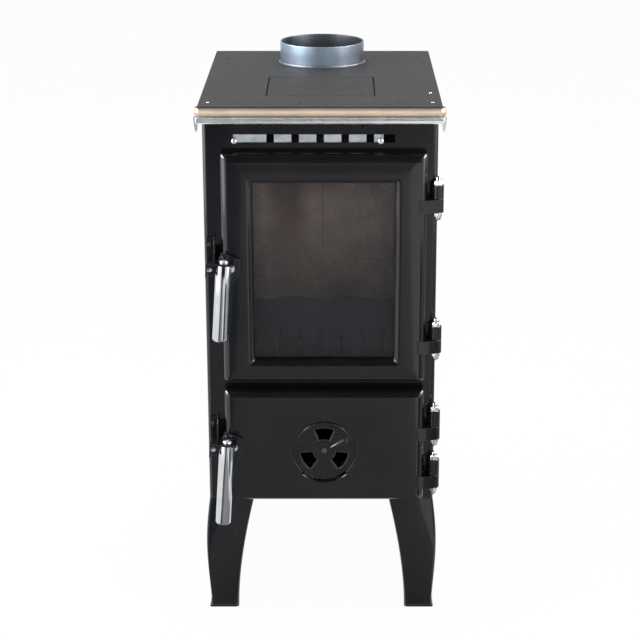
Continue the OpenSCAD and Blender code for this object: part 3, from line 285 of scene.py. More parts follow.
class Recipe:
    """Builds the nodes of one material, or of the world, line by line."""

    def __init__(self, name, kind="Material"):
        self.kind = kind
        self.owner = (bpy.data.worlds if kind == "World" else bpy.data.materials).new(name)
        self.owner.use_nodes = True
        self.tree = self.owner.node_tree
        self.tree.nodes.clear()
        if kind == "Material":
            self.place = self.add("TexCoord", out="Object")

    def add(self, kind, inputs=None, out=0, **settings):
        """Adds a node with its settings and inputs, and returns one of its outputs. Colours are triples."""
        node = self.tree.nodes.new("ShaderNode" + kind)
        for key, value in settings.items():
            setattr(node, key, value)
        for key, value in (inputs or {}).items():
            socket = node.inputs[key]
            if isinstance(value, bpy.types.NodeSocket):
                self.tree.links.new(value, socket)
            else:
                socket.default_value = (*value, 1) if socket.type == "RGBA" else value
        return node.outputs[out]

    def noise(self, scale, detail=3.0, rough=0.55, stretch=None, distortion=0.0):
        """Cloudy noise around 0.5, squeezed along each axis by the stretch."""
        place = self.add("Mapping", {"Vector": self.place, "Scale": stretch}) if stretch else self.place
        return self.add("TexNoise", {"Vector": place, "Scale": scale, "Detail": detail, "Roughness": rough,
                                     "Distortion": distortion})

    def cells(self, scale, channel):
        """One random value for each cell: a channel of the cells' random colours."""
        colour = self.add("TexVoronoi", {"Vector": self.place, "Scale": scale}, "Color")
        return self.add("SeparateColor", {0: colour}, channel)

    def math(self, kind, first, second=0.0):
        return self.add("Math", {0: first, 1: second}, operation=kind)

    def ramp(self, value, low, high, start=0.0, end=1.0):
        """Maps a value from low..high to start..end, held at the ends."""
        return self.add("MapRange", {0: value, 1: low, 2: high, 3: start, 4: end}, clamp=True)

    def mixed(self, share, first, second):
        """Colour between two others."""
        return self.add("Mix", {0: share, 6: first, 7: second}, 2, data_type="RGBA")

    def mottled(self, value, colour, dark, light, low=0.35, high=0.65):
        """Shades of a colour, from a darker to a lighter factor as a value rises."""
        return self.mixed(self.ramp(value, low, high), tint(colour, dark), tint(colour, light))

    def over(self, base, colour, value, low, high, most):
        """A colour laid over the base, up to the given share, as a value goes from low to high."""
        return self.mixed(self.ramp(value, low, high, 0.0, most), base, colour)

    def along(self, axis):
        """One coordinate of the place: X, Y or Z."""
        return self.add("SeparateXYZ", {0: self.place}, axis)

    def distance(self, axis, middle):
        """Distance of the place from a middle, along one axis."""
        return self.math("ABSOLUTE", self.math("SUBTRACT", self.along(axis), middle))

    def rounded(self, radius):
        """Normal that softens edges narrower than the radius, in metres."""
        return self.add("Bevel", {"Radius": radius}, samples=6)

    def worn(self, reach, scale, low, high, least, most):
        """Broken mask near sharp edges, for wear and for painted edge highlights: there the softened normal
        leans away from the true one.
        """
        plain = self.add("NewGeometry", out="Normal")
        lean = self.add("VectorMath", {0: self.rounded(reach), 1: plain}, "Value", operation="DOT_PRODUCT")
        return self.math("MULTIPLY", self.ramp(lean, 0.98, 0.80),
                         self.ramp(self.noise(scale), low, high, least, most))

    def bump(self, value, strength, distance, soften=None):
        """Normal with fine relief, on edges that are softened where a radius is given."""
        inputs = {"Strength": strength, "Distance": distance, "Height": value}
        if soften:
            inputs["Normal"] = self.rounded(soften)
        return self.add("Bump", inputs)

    def seen(self):
        """1 to rays from the camera, from mirrors and through glass, and 0 to the rest."""
        rays = self.tree.nodes.new("ShaderNodeLightPath").outputs
        bounced = self.math("MAXIMUM", rays["Is Glossy Ray"], rays["Is Transmission Ray"])
        return self.math("MAXIMUM", rays["Is Camera Ray"], bounced)

    def principled(self, base, gloss, normal=None, **more):
        """Principled shader from its colour, its roughness, its normal and other sockets by name."""
        inputs = {key.replace("_", " "): value for key, value in more.items()}
        inputs.update({"Base Color": base, "Roughness": gloss})
        if normal:
            inputs["Normal"] = normal
        return self.add("BsdfPrincipled", inputs)

    def finish(self, base, gloss, normal, **more):
        """A material of one principled shader."""
        return self.end(self.principled(base, gloss, normal, **more))

    def end(self, shader):
        """Wires a shader to the output."""
        output = self.tree.nodes.new("ShaderNodeOutput" + self.kind)
        self.tree.links.new(shader, output.inputs[0])
        return self.owner


def tint(colour, factor):
    return tuple(min(1.0, part * factor) for part in colour)


def satin_enamel(name, colour, roughness=0.20):
    """Sprayed satin enamel: faint orange peel, cloudy gloss, a few pale specks and paler worn edges."""
    r = Recipe(name)
    cloud, fine = r.noise(9.0, 4.0), r.noise(420.0, 2.0)
    base = r.mottled(cloud, colour, 0.88, 1.14)
    base = r.mixed(r.worn(0.0012, 60.0, 0.45, 0.7, 0.0, 0.35), base, tint(colour, 3.2))
    base = r.over(base, (0.08, 0.08, 0.085), r.noise(240.0, 1.0, stretch=(1, 1, 0.7)), 0.70, 0.78, 0.10)
    gloss = r.math("ADD", r.ramp(cloud, 0.3, 0.7, roughness - 0.04, roughness + 0.05),
                   r.ramp(fine, 0.35, 0.65, -0.015, 0.02))
    return r.finish(base, gloss, r.bump(fine, 0.05, 0.0004, 0.0009), Specular_IOR_Level=0.28,
                    Coat_Weight=0.7, Coat_Roughness=0.05)


def painted_steel(name, colour, roughness=0.24, wear=0.8, reach=0.0013):
    """Black paint on pressed and forged hardware: faint lumps, and paler grey along the edges, partly
    worn steel and partly a painted highlight.
    """
    r = Recipe(name)
    lumps = r.noise(150.0)
    base = r.mottled(r.noise(30.0), colour, 0.8, 1.3)
    # Paler grey along the edges: partly worn steel, partly a painted highlight on the rounded edges.
    base = r.mixed(r.worn(reach, 210.0, 0.5, 0.68, wear - 0.5, wear), base, (0.17, 0.17, 0.175))
    gloss = r.ramp(lumps, 0.3, 0.7, roughness - 0.06, roughness + 0.08)
    return r.finish(base, gloss, r.bump(lumps, 0.04, 0.0004, 0.0008), Specular_IOR_Level=0.25,
                    Coat_Weight=0.5, Coat_Roughness=0.05)


def hot_plate(name, colour, grain=(1, 1, 1), painted_gap_shade_node=None):
    """Machined and oiled cooking plate: fine directional grain, darker heat clouds and small scuffs. A node's
    finish can have painted shade on the node's sides and along its left and right rims, darkening the
    gaps round it."""
    r = Recipe(name)
    drawn = r.noise(260.0, stretch=grain)
    base = r.mottled(r.noise(11.0, 5.0, 0.6), colour, 0.86, 1.12, 0.32, 0.68)
    base = r.over(base, tint(colour, 1.35), drawn, 0.35, 0.68, 0.35)
    base = r.over(base, tint(colour, 0.55), r.noise(38.0, 6.0, 0.7, distortion=1.2), 0.66, 0.74, 0.3)
    base = r.mixed(r.worn(0.0010, 90.0, 0.4, 0.65, 0.0, 0.6), base, tint(colour, 2.6))
    if painted_gap_shade_node:
        low, high, middle = (corner * MM for corner in box_of(painted_gap_shade_node))
        half = (high[0] - low[0]) / 2
        # Painted shade: dark on the node's sides below its top and along its left and right rims, in the gaps
        # round it.
        side = r.ramp(r.along("Z"), high[2] - 0.0002, high[2] - 0.0008)
        rim = r.ramp(r.distance("X", middle[0]), half - 0.0023, half - 0.0016)
        base = r.mixed(r.math("MAXIMUM", side, rim), base, (0.003, 0.003, 0.003))
    return r.finish(base, r.ramp(drawn, 0.3, 0.7, 0.56, 0.70), r.bump(drawn, 0.10, 0.0003, 0.0008),
                    Metallic=0.1, Specular_IOR_Level=0.15)


def cast_iron(name, colour, rust=0.12, shine=0.25, coarse=0.35):
    """Sand-cast or scaled iron inside the stove: pitted skin and a little rust bloom."""
    r = Recipe(name)
    pits = r.noise(320.0, 4.0, 0.65)
    base = r.mottled(r.noise(26.0, 4.0), colour, 0.75, 1.25)
    base = r.over(base, (0.16, 0.062, 0.026), r.noise(14.0, 6.0, 0.65), 0.58, 0.72, rust)
    return r.finish(base, r.ramp(pits, 0.3, 0.7, 0.55, 0.8), r.bump(pits, coarse, 0.0008, 0.0008),
                    Specular_IOR_Level=shine)


def polished_metal(name, colour, roughness=0.09, grain=(1, 1, 1), metal=1.0, band=None):
    """Chrome or polished steel: fine drawn scratches and faint smears. A band between two heights gets painted
    shading: bright along its middle and darker towards both edges."""
    r = Recipe(name)
    scratch, smear = r.noise(520.0, 2.0, stretch=grain), r.noise(34.0, 4.0)
    base = r.mottled(smear, colour, 0.93, 1.04, 0.35, 0.68)
    if band:
        # Painted shading of the bulging band: bright along its middle, darker towards both edges.
        level = r.ramp(r.along("Z"), *band)
        lit_middle = r.math("MULTIPLY", r.ramp(level, 0.0, 0.58, 0.30, 1.0), r.ramp(level, 1.0, 0.62, 0.22, 1.0))
        base = r.mixed(lit_middle, tint(colour, 0.06), base)
    gloss = r.math("ADD", r.ramp(scratch, 0.35, 0.7, roughness, roughness + 0.07),
                   r.ramp(smear, 0.45, 0.75, 0.0, 0.05))
    return r.finish(base, gloss, r.bump(scratch, 0.035, 0.0002, 0.0006), Metallic=metal)


def zinc_sheet(name, colour):
    """Galvanised sheet: angular spangles of slightly different grey, fine rolling lines and dull patches."""
    r = Recipe(name)
    spangle = r.cells(95.0, 0)
    base = r.mixed(spangle, tint(colour, 0.84), tint(colour, 1.1))
    base = r.over(base, tint(colour, 0.6), r.noise(22.0, 4.0), 0.5, 0.7, 0.4)
    lines = r.noise(420.0, 2.0, stretch=(0.06, 1, 1))
    return r.finish(base, r.ramp(spangle, 0.0, 1.0, 0.28, 0.44), r.bump(lines, 0.06, 0.0003, 0.0005),
                    Metallic=0.55)


def tempered_collar(name, colour):
    """Flue collar's blue-grey steel: soft vertical streaks, darker low down towards the foot, painted shade in
    brown towards the right and a sooty bore."""
    r = Recipe(name)
    low, high, middle = (corner * MM for corner in box_of("flue_collar"))
    streak = r.noise(26.0, stretch=(1, 1, 0.3))
    base = r.mottled(streak, colour, 0.86, 1.1, 0.35, 0.68)
    # Darker low down, towards the foot.
    base = r.over(base, (0.075, 0.078, 0.09), r.ramp(r.along("Z"), low[2], high[2]), 0.34, 0.20, 0.80)
    base = r.over(base, (0.22, 0.19, 0.17), r.noise(24.0, 4.0), 0.55, 0.7, 0.22)
    # Painted shade: darker and browner towards the right side.
    right_side_shade = r.math("ADD", r.along("X"), r.ramp(r.noise(30.0), 0.3, 0.7, -0.012, 0.012))
    base = r.over(base, (0.098, 0.088, 0.088), right_side_shade, 0.005, 0.055, 0.62)
    aside = r.add("VectorMath", {0: r.place, 1: (middle[0], middle[1], 0)}, operation="SUBTRACT")
    flat = r.add("VectorMath", {0: aside, 1: (1, 1, 0)}, operation="MULTIPLY")
    from_axis = r.add("VectorMath", {0: flat}, "Value", operation="LENGTH")
    base = r.over(base, (0.035, 0.034, 0.035), from_axis, 0.0640, 0.0632, 0.75)
    fine = r.noise(300.0, 2.0, stretch=(1, 1, 0.25))
    return r.finish(base, r.ramp(streak, 0.3, 0.7, 0.30, 0.42), r.bump(fine, 0.12, 0.0003, 0.0006),
                    Metallic=0.6)


def fired_brick(name, colour):
    """Insulating brick: mica grain, pin holes, a brown burn high up at the left, and soot that climbs from
    below."""
    r = Recipe(name)
    grain = r.noise(190.0, 5.0, 0.7)
    base = r.mottled(r.noise(16.0, 4.0), colour, 0.86, 1.1)
    base = r.over(base, tint(colour, 1.45), r.cells(260.0, 1), 0.82, 0.95, 0.45)
    base = r.over(base, tint(colour, 0.4), r.noise(120.0), 0.64, 0.72, 0.6)
    foot, top = (corner[2] * MM for corner in box_of("firebrick_back")[:2])
    aside = r.math("ABSOLUTE", r.math("ADD", r.along("X"), r.ramp(r.noise(9.0), 0.3, 0.7, 0.040, 0.062)))
    burn = r.math("MULTIPLY", r.ramp(aside, 0.040, 0.012), r.ramp(r.along("Z"), top - 0.27, top - 0.11))
    base = r.mixed(burn, base, (0.070, 0.040, 0.029))
    level = r.math("ADD", r.along("Z"), r.ramp(r.noise(12.0, 5.0), 0.3, 0.7, -0.05, 0.05))
    base = r.over(base, (0.035, 0.030, 0.027), level, foot + 0.17, foot, 0.4)
    return r.finish(base, r.ramp(grain, 0.3, 0.7, 0.82, 0.95), r.bump(grain, 0.5, 0.0012, 0.0015))


def glass_rope(name, colour):
    """Glass-fibre yarn: pale broken filaments along each strand, in lighter and darker patches."""
    r = Recipe(name)
    yarn = r.noise(900.0, stretch=(1, 1, 0.3))
    base = r.mottled(r.noise(60.0), colour, 0.7, 1.3, 0.35, 0.7)
    base = r.over(base, tint(colour, 2.4), yarn, 0.5, 0.75, 0.5)
    return r.finish(base, r.ramp(yarn, 0.3, 0.7, 0.75, 0.95), r.bump(yarn, 0.5, 0.0005), Sheen_Weight=0.2,
                    Sheen_Roughness=0.5)


def smoked_glass(name, colour):
    """Heat-proof pane: warm smoky body, faint haze and fly soot towards the edges; light passes through."""
    r = Recipe(name)
    low, high, middle = (corner * MM for corner in box_of("fire_glass"))
    across, up = (r.math("DIVIDE", r.distance(axis, middle[k]), (high[k] - low[k]) / 2)
                  for axis, k in (("X", 0), ("Z", 2)))
    haze = r.noise(18.0, 5.0, 0.6)
    soot = r.math("MULTIPLY", r.ramp(r.math("MAXIMUM", across, up), 0.72, 1.0),
                  r.ramp(haze, 0.3, 0.7, 0.3, 0.8))
    pane = r.principled(r.mixed(soot, colour, tint(colour, 0.35)), r.ramp(haze, 0.4, 0.8, 0.02, 0.05),
                        Transmission_Weight=1.0, IOR=1.45)
    shade = r.add("BsdfTransparent", {0: (0.62, 0.60, 0.58)})
    return r.end(r.add("MixShader", {0: r.add("LightPath", out="Is Shadow Ray"), 1: pane, 2: shade}))


# ---------- what a user would change ----------

def length_value(name, description, default):
    return FloatProperty(name=name, description=description, default=default, unit="LENGTH", precision=5,
                         min=0.0)


def colour_value(name, description, default):
    return FloatVectorProperty(name=name, description=description, default=default, subtype="COLOR", size=3,
                               min=0.0, max=1.0)


class StoveSizes(bpy.types.PropertyGroup):
    """Sizes of the dressed pieces."""
    door_edge: length_value("Door edge", "Radius of the doors' pressed front edges", 0.011)
    door_corner: length_value("Door corner", "Radius of the doors' corners seen from the front", 0.0050)
    glass_lip: length_value("Glass lip", "Radius of the rolled lip round the glass", 0.0100)
    sheet: length_value("Door sheet", "Thickness of the doors' sheet", 0.002)
    leg_sheet: length_value("Leg sheet", "Thickness of the legs' sheet", 0.0025)
    leg_bend: length_value("Leg bend", "Radius of the bends along the legs", 0.0055)
    grip_radius: length_value("Grip radius", "Outer radius of the tube grips", 0.01125)
    grip_round: length_value("Grip rounding", "Rounding of the grips' lower ends", 0.004)
    valve_border: length_value("Valve border", "Width of the thinner border round each window", 0.0026)
    edge_round: length_value("Edge rounding", "Rounding of the hardware's edges", 0.0008)
    rope_lay: length_value("Rope lay", "Length of one turn of the rope's strands", 0.026)
    knurls: IntProperty(name="Knurls", description="Ribs round each slider knob", default=20, min=8, max=40)


class StoveColours(bpy.types.PropertyGroup):
    """Colours of the finishes, before wear."""
    enamel: colour_value("Enamel", "Casing, doors and legs", (0.0046, 0.0044, 0.0055))
    hardware: colour_value("Hardware", "Levers, catches and hinges", (0.0060, 0.0060, 0.0068))
    plate: colour_value("Plate", "Cooking plate and lid", (0.0325, 0.0325, 0.0335))
    collar: colour_value("Collar", "Flue collar", (0.255, 0.325, 0.41))
    chrome: colour_value("Chrome", "Rail, grips and nuts", (0.80, 0.82, 0.84))
    trim: colour_value("Trim", "Bright band round the plate", (0.68, 0.55, 0.43))
    zinc: colour_value("Zinc", "Air slider and plated fixings", (0.52, 0.56, 0.59))
    iron: colour_value("Iron", "Plates and castings inside", (0.0042, 0.0046, 0.0055))
    retainer: colour_value("Log retainer", "Plate behind the glass", (0.0030, 0.0056, 0.0095))
    brick: colour_value("Firebrick", "Insulating bricks", (0.275, 0.228, 0.20))
    rope: colour_value("Rope", "Rope seals and gasket", (0.075, 0.073, 0.068))
    glass: colour_value("Glass", "Tint of the pane", (0.83, 0.81, 0.79))


def size(name):
    """A length from the sidebar, in millimetres."""
    return getattr(bpy.context.scene.stove_sizes, name) / MM


FINISHES = {}


def mix_finishes(c):
    """One material for each of the stove's finishes."""
    lengthwise, upwards = (0.05, 1, 1), (1, 1, 0.08)
    # Heights of the trim, over which its finish paints shading: bright middle, darker edges.
    trim_shading_band = [corner[2] * MM for corner in box_of("edge_trim")[:2]]
    FINISHES.update(
        enamel=satin_enamel("Satin_enamel", c.enamel),
        leg_enamel=satin_enamel("Leg_enamel", c.enamel, 0.22),
        back=satin_enamel("Back_sheet", tint(c.enamel, 0.9), 0.5),
        hardware=painted_steel("Painted_hardware", c.hardware),
        # The valve's stronger edge tint paints highlights round its windows, ridge and rim, besides wear.
        valve=painted_steel("Valve_disc", tint(c.hardware, 0.9), 0.28, 0.9, 0.0014),
        plate=hot_plate("Cooking_plate_iron", c.plate, (0.25, 1, 1)),
        # The lid's finish paints shade on its sides and along its left and right rims.
        lid=hot_plate("Lid_iron", tint(c.plate, 0.9), (0.25, 1, 1), "cooking_lid"),
        dull_head=hot_plate("Dull_heads", tint(c.plate, 1.2)),
        collar=tempered_collar("Tempered_collar", c.collar),
        chrome=polished_metal("Chrome", c.chrome, 0.07, upwards),
        # The grips' chrome is a darker copy of the chrome: painted shade for their darker reflections.
        grip=polished_metal("Grip_chrome_painted_shade", tint(c.chrome, 0.82), 0.07, upwards),
        rail=polished_metal("Rail_chrome", tint(c.chrome, 1.15), 0.22, (0.05, 3, 3), 0.85),
        trim=polished_metal("Polished_trim", c.trim, 0.34, lengthwise, 0.45, trim_shading_band),
        fixing=polished_metal("Plated_fixings", tint(c.zinc, 1.5), 0.2, metal=0.8),
        zinc=zinc_sheet("Zinc_sheet", c.zinc),
        iron=cast_iron("Scaled_iron", c.iron, 0.12, 0.12),
        # Darker scaled iron for the air grille.
        sooted=cast_iron("Darker_grille_iron", tint(c.iron, 0.4), 0.02, 0.03),
        casting=cast_iron("Cast_grate", tint(c.iron, 3.0), 0.25),
        retainer=cast_iron("Log_retainer_plate", c.retainer, 0.02, 0.08, 0.12),
        brick=fired_brick("Firebrick", c.brick),
        rope=glass_rope("Glass_rope", c.rope),
        glass=smoked_glass("Smoked_glass", c.glass),
    )


# ---------- doors ----------

MITRE_ROUND = 4.5       # corner radius of the doors' faces, inside the rounded edges
GLASS_LAP = 7.0         # how far the pane reaches behind the lip
CLIP_SCREW_RADIUS = 3.5


def pressed_door(node, middle_rings, side_steps):
    """Closed cross-section of a pressed door as rings: rim, side, quarter-round edge, face, the rings that
    stand in the face, then the same path back inside the sheet.

    Corner radii shrink with the inset to the mitre's own rounding, which draws the edges together softly.
    """
    low, high, middle = box_of(node)
    deep = high[1] - low[1]
    edge, corner, sheet = size("door_edge"), size("door_corner"), size("sheet")

    def ring(inset, depth):
        radius = MITRE_ROUND + (corner - MITRE_ROUND) * (1 - min(inset, edge) / edge)
        return upright_loop(front_spans(node) - 2 * inset, radius, middle, low[1] + depth, side_steps)

    outer = [(0, deep), (0, deep - 0.6), *arc((edge, edge), edge, 180, 270, 10)]
    inner = [*arc((edge, edge), edge - sheet, 270, 180, 10), (sheet, deep)]
    rings = [ring(*pair) for pair in outer] + middle_rings + [ring(*pair) for pair in inner]
    return skin(rings, close_rows=True, close_columns=True)


class STOVE_OT_fire_door(bpy.types.Operator):
    """Fire door: pressed sheet with soft mitred edges, a rolled lip round the glass and pegs for its clips"""
    bl_idname = "stove.fire_door"
    bl_label = "Fire door"

    def execute(self, context):
        face, middle = box_of("fire_door_panel")[0][1], box_of("fire_glass")[2]
        opening = front_spans("fire_glass") - 2 * GLASS_LAP
        lip, sheet = size("glass_lip"), size("sheet")
        steps = [(lip + 0.8, 0, 6.0), (lip, 0, 5.5)]
        steps += [(spread, depth, 1 + 4.5 * spread / lip)
                  for spread, depth in arc((lip, lip), lip, 270, 180)[1:]]
        steps += [(lip, lip, 5.5), (lip, sheet + 0.4, 5.5), (lip + 0.4, sheet, 5.5)]
        rings = [upright_loop(opening + 2 * spread, radius, middle, face + depth, 12)
                 for spread, depth, radius in steps]
        length = box_of("glass_clips")[0][1] - face
        peg = [(0, 1.5), (4, 1.5), (4, length), (0, length)]
        pegs = [turned(peg, (x, face, z), BACK, 24) for x, z in edge_places("clip_screws", CLIP_SCREW_RADIUS)]
        make_piece("fire_door_skin", [pressed_door("fire_door_panel", rings, 12)] + pegs,
                   "fire_door_panel", "enamel")
        return {"FINISHED"}


SEAT_SINK = 3.0         # depth of the valve's seat behind the door's face
SEAT_BEND = 1.4         # rounding of the recess's edge
RECESS_RADIUS = 45.2
POCKET_DEEP, POCKET_HALF = 3.3, 43.7    # the stop's pocket below: extra radius, and half its angle
STOP_SLOT_HALF = 42.0   # half the angle of the opening in the seat that the stop travels over
RIVET_HOLE = 3.05
WINDOWS = (90.0, 210.0, 330.0)
WINDOW_HALF = 24.0
WINDOW_IN, WINDOW_OUT = 17.0, 35.0


def angle_gap(angle, centre):
    """Smallest distance between two directions, in degrees."""
    return np.abs((angle - centre + 180) % 360 - 180)


def recess_radius(angle):
    """Radius of the valve's recess: a circle with a slightly wider pocket below for the disc's stop."""
    return RECESS_RADIUS + POCKET_DEEP * smooth_step(POCKET_HALF - angle_gap(angle, 270), 0, 1.4)


def round_valve(radii, angles, y):
    """Points round the air valve's axis, from radii, angles in degrees and their place along Y."""
    centre = joint_place("air_valve_turn")
    radii, turn, y = np.broadcast_arrays(radii, np.radians(angles), y)
    return np.stack([centre[0] + radii * np.cos(turn), y, centre[2] + radii * np.sin(turn)], -1)


def window_cells(radii, angles):
    """Cells of the polar grid that lie in one of the windows."""
    radius = ((radii[:-1] + radii[1:]) / 2)[:, None]
    angle = (angles + (angles[1] - angles[0]) / 2) % 360
    near = np.min([angle_gap(angle, window) for window in WINDOWS], 0) < WINDOW_HALF
    return (radius > WINDOW_IN) & (radius < WINDOW_OUT) & near


class STOVE_OT_ash_door(bpy.types.Operator):
    """Ash door: pressed sheet whose face runs into the sunk seat of the air valve"""
    bl_idname = "stove.ash_door"
    bl_label = "Ash door"

    def execute(self, context):
        low, _, middle = box_of("ash_door_panel")
        edge, sheet = size("door_edge"), size("sheet")
        floor, side_steps = SEAT_SINK + sheet, 70
        centre = joint_place("air_valve_turn")
        loop = upright_loop(front_spans("ash_door_panel") - 2 * edge, MITRE_ROUND, middle, low[1], side_steps)
        towards = np.degrees(np.arctan2(loop[:, 2] - centre[2], loop[:, 0] - centre[0]))
        steps = [*arc((SEAT_BEND, SEAT_BEND), SEAT_BEND, 270, 180, 5), (0, SEAT_SINK - 0.3),
                 (-0.3, SEAT_SINK), (-0.3, floor), (sheet, floor), (sheet, sheet + 0.2), (sheet + 0.2, sheet)]
        rings = [round_valve(recess_radius(towards) + out, towards, low[1] + depth) for out, depth in steps]
        inner = np.array([RIVET_HOLE, 8.0, 13.0, WINDOW_IN, 23.0, 29.0, WINDOW_OUT, 38.0, 41.8])
        angles = np.arange(0, 360, 2.0)
        rim = recess_radius(angles)
        radii = np.concatenate([np.repeat(inner[:, None], len(angles), 1), [rim - 0.8, rim - 0.3]])
        open_cells = np.vstack([window_cells(inner, angles), angle_gap(angles + 1, 270) < STOP_SLOT_HALF,
                                np.zeros(len(angles), bool)])
        seat = cut_plate(round_valve(radii, angles, low[1] + SEAT_SINK),
                         round_valve(radii, angles, low[1] + floor), open_cells)
        make_piece("ash_door_skin", [pressed_door("ash_door_panel", rings, side_steps), seat],
                   "ash_door_panel", "enamel")
        return {"FINISHED"}


DISC_SHEET = 2.3
DISC_RADIUS = 43.8
RIDGE_ANGLE = 27.0      # direction of the finger ridge from the right, anticlockwise


def valve_heights(radii, angles):
    """Height of the disc's front over its back: full sheet, thinner sloping borders round the windows, a
    rounded rim, and a finger ridge that widens and rises outwards and ends in a dimple."""
    radius, angle = np.broadcast_arrays(radii[:, None], angles[None, :])
    turn = np.min([angle_gap(angle, window) for window in WINDOWS], 0) - WINDOW_HALF
    aside = np.where(turn > 0, radius * np.sin(np.radians(np.minimum(turn, 80))), -1.0)
    beyond = np.maximum(np.maximum(WINDOW_IN - radius, radius - WINDOW_OUT), 0)
    away = np.hypot(beyond, np.maximum(aside, 0))
    height = DISC_SHEET - 0.8 * (1 - smooth_step(away, 0.5, size("valve_border")))
    height -= 0.7 * smooth_step(radius, DISC_RADIUS - 0.9, DISC_RADIUS) ** 2
    from_ridge = np.radians(angle - RIDGE_ANGLE)
    along, aside = radius * np.cos(from_ridge), np.abs(radius * np.sin(from_ridge))
    wide = np.interp(along, (9, 33, 37.5), (0.7, 3.6, 3.0))
    tall = np.interp(along, (8.8, 11, 36, 37.2, 37.7), (0, 0.7, 4.15, 3.4, 0))
    height += tall * smooth_step(wide - aside, -0.5, 0.5) * (along > 0)
    dimple = np.clip(1 - ((along - 34.4) ** 2 + aside ** 2) / 1.9 ** 2, 0, 1)
    return height - 0.7 * np.sqrt(dimple)


class STOVE_OT_air_valve(bpy.types.Operator):
    """Air valve: round disc with bordered windows, a wedge-shaped finger ridge and a stop, and its rivet"""
    bl_idname = "stove.air_valve"
    bl_label = "Air valve"

    def execute(self, context):
        back = box_of("air_valve")[1][1]
        angles = np.arange(0, 360, 1.0)
        radii = np.unique(np.concatenate([[RIVET_HOLE, DISC_RADIUS], np.arange(4, 43.5, 1.0),
                                          np.arange(14.0, 17.01, 0.5), np.arange(33, 38.1, 0.5),
                                          np.arange(42.6, DISC_RADIUS, 0.2)]))
        disc = cut_plate(round_valve(radii[:, None], angles, back - valve_heights(radii, angles)),
                         round_valve(radii[:, None], angles, back), window_cells(radii, angles))
        rows, turn = np.array([[38.0], [43.5], [46.9], [47.5]]), np.linspace(230.6, 249.4, 13)
        front = round_valve(rows, turn, back - np.array([[1.45], [1.45], [1.45], [1.0]]))
        stop = np.concatenate([front, round_valve(rows, turn, back - 0.05)[::-1]])
        make_piece("air_valve_disc", [disc, skin(capped(stop.swapaxes(0, 1)), close_columns=True)],
                   "air_valve", "valve", 50)
        low, high, middle = box_of("valve_rivet")
        reach = high[1] - low[1]
        crown = [(0, 0), (1.0, 0.08), (2.0, 0.35), (2.9, 0.85), (3.6, 1.5), (4.0, 2.05), (4.2, 2.5),
                 (3.0, 2.5), (3.0, reach - 1), (4.5, reach - 1), (4.5, reach), (0, reach)]
        make_piece("valve_rivet_turned", [turned(crown, (middle[0], low[1], middle[2]), BACK, 40)],
                   "valve_rivet", "dull_head", 35)
        return {"FINISHED"}


# ---------- chrome ----------

LEVER_LEAN = 3.7        # degrees that a latched lever leans to the right
LEVER_SHEET = 3.0
WEB_DEEP, WEB_TOP = 24.0, 12.3          # the lever's top web: its depth, and its top over the pivot
GRIP_ASIDE, PIN_ASIDE = -9.5, -32.3     # from the pivot to the grip's axis and to the latch pin


class STOVE_OT_grips(bpy.types.Operator):
    """Chrome tube grips hung under the levers' webs, with bolt heads on washers over them and latch pins"""
    bl_idname = "stove.grips"
    bl_label = "Grips"

    def execute(self, context):
        lean = np.radians(LEVER_LEAN)
        across = np.array([np.cos(lean), 0, -np.sin(lean)])
        up = np.array([np.sin(lean), 0, np.cos(lean)])
        corner, radius = size("grip_round"), size("grip_radius")
        washer = [(0, 0), (6.3, 0), (6.5, 0.2), (6.5, 0.8), (6.3, 1.0), (0, 1.0)]
        head = [(0, 1.0), (5.5, 1.0), (5.5, 1.9), (5.1, 2.35), (4.2, 2.8), (2.8, 3.1), (1.4, 3.19), (0, 3.2)]
        latch_pin = np.concatenate([[(0, 0), (3.4, 0), (3.4, 4)], arc((0, 3.6), 3.4, 7, 90)])
        for door, length in (("fire", 113.0), ("ash", 124.0)):
            pivot = joint_place(door + "_latch_turn")
            seat = pivot + across * GRIP_ASIDE + up * WEB_TOP
            seat[1] += radius + 1 - LEVER_SHEET - WEB_DEEP
            pin = pivot + across * PIN_ASIDE + up * 0.5
            pin[1] -= LEVER_SHEET + WEB_DEEP / 2
            side = [(0, 0), (radius - 0.7, 0), (radius - 0.2, 0.2), (radius, 0.8), (radius, 40),
                    (radius, length - corner)]
            tube = np.concatenate([side, arc((radius - corner, length - corner), corner, 0, 90),
                                   [(4.2, length), (3.6, length - 0.5), (0, length - 0.5)]])
            make_piece(door + "_grip_tube", [turned(tube, seat - up * LEVER_SHEET, -up, 64)],
                       door + "_grip", "grip")
            make_piece(door + "_grip_fixings", [turned(washer, seat, up, 32), turned(head, seat, up, 32),
                                                turned(latch_pin, pin, across, 32)],
                       door + "_grip_bolts", "fixing", 35)
        return {"FINISHED"}


def trim_path(left, right, front, back, level, corner):
    """Path along a plate's front, round both corners and back along the sides, and its outward directions."""
    first = arc((left + corner, front + corner), corner, 180, 270, 12)
    second = arc((right - corner, front + corner), corner, 270, 360, 12)
    path = np.concatenate([line((left, back), first[0]), first[1:], line(first[-1], second[0])[1:],
                           second[1:], line(second[-1], (right, back))[1:]])
    path = np.column_stack([path, np.full(len(path), level)])
    return path, np.cross(unit(np.gradient(path, axis=0)), UP)


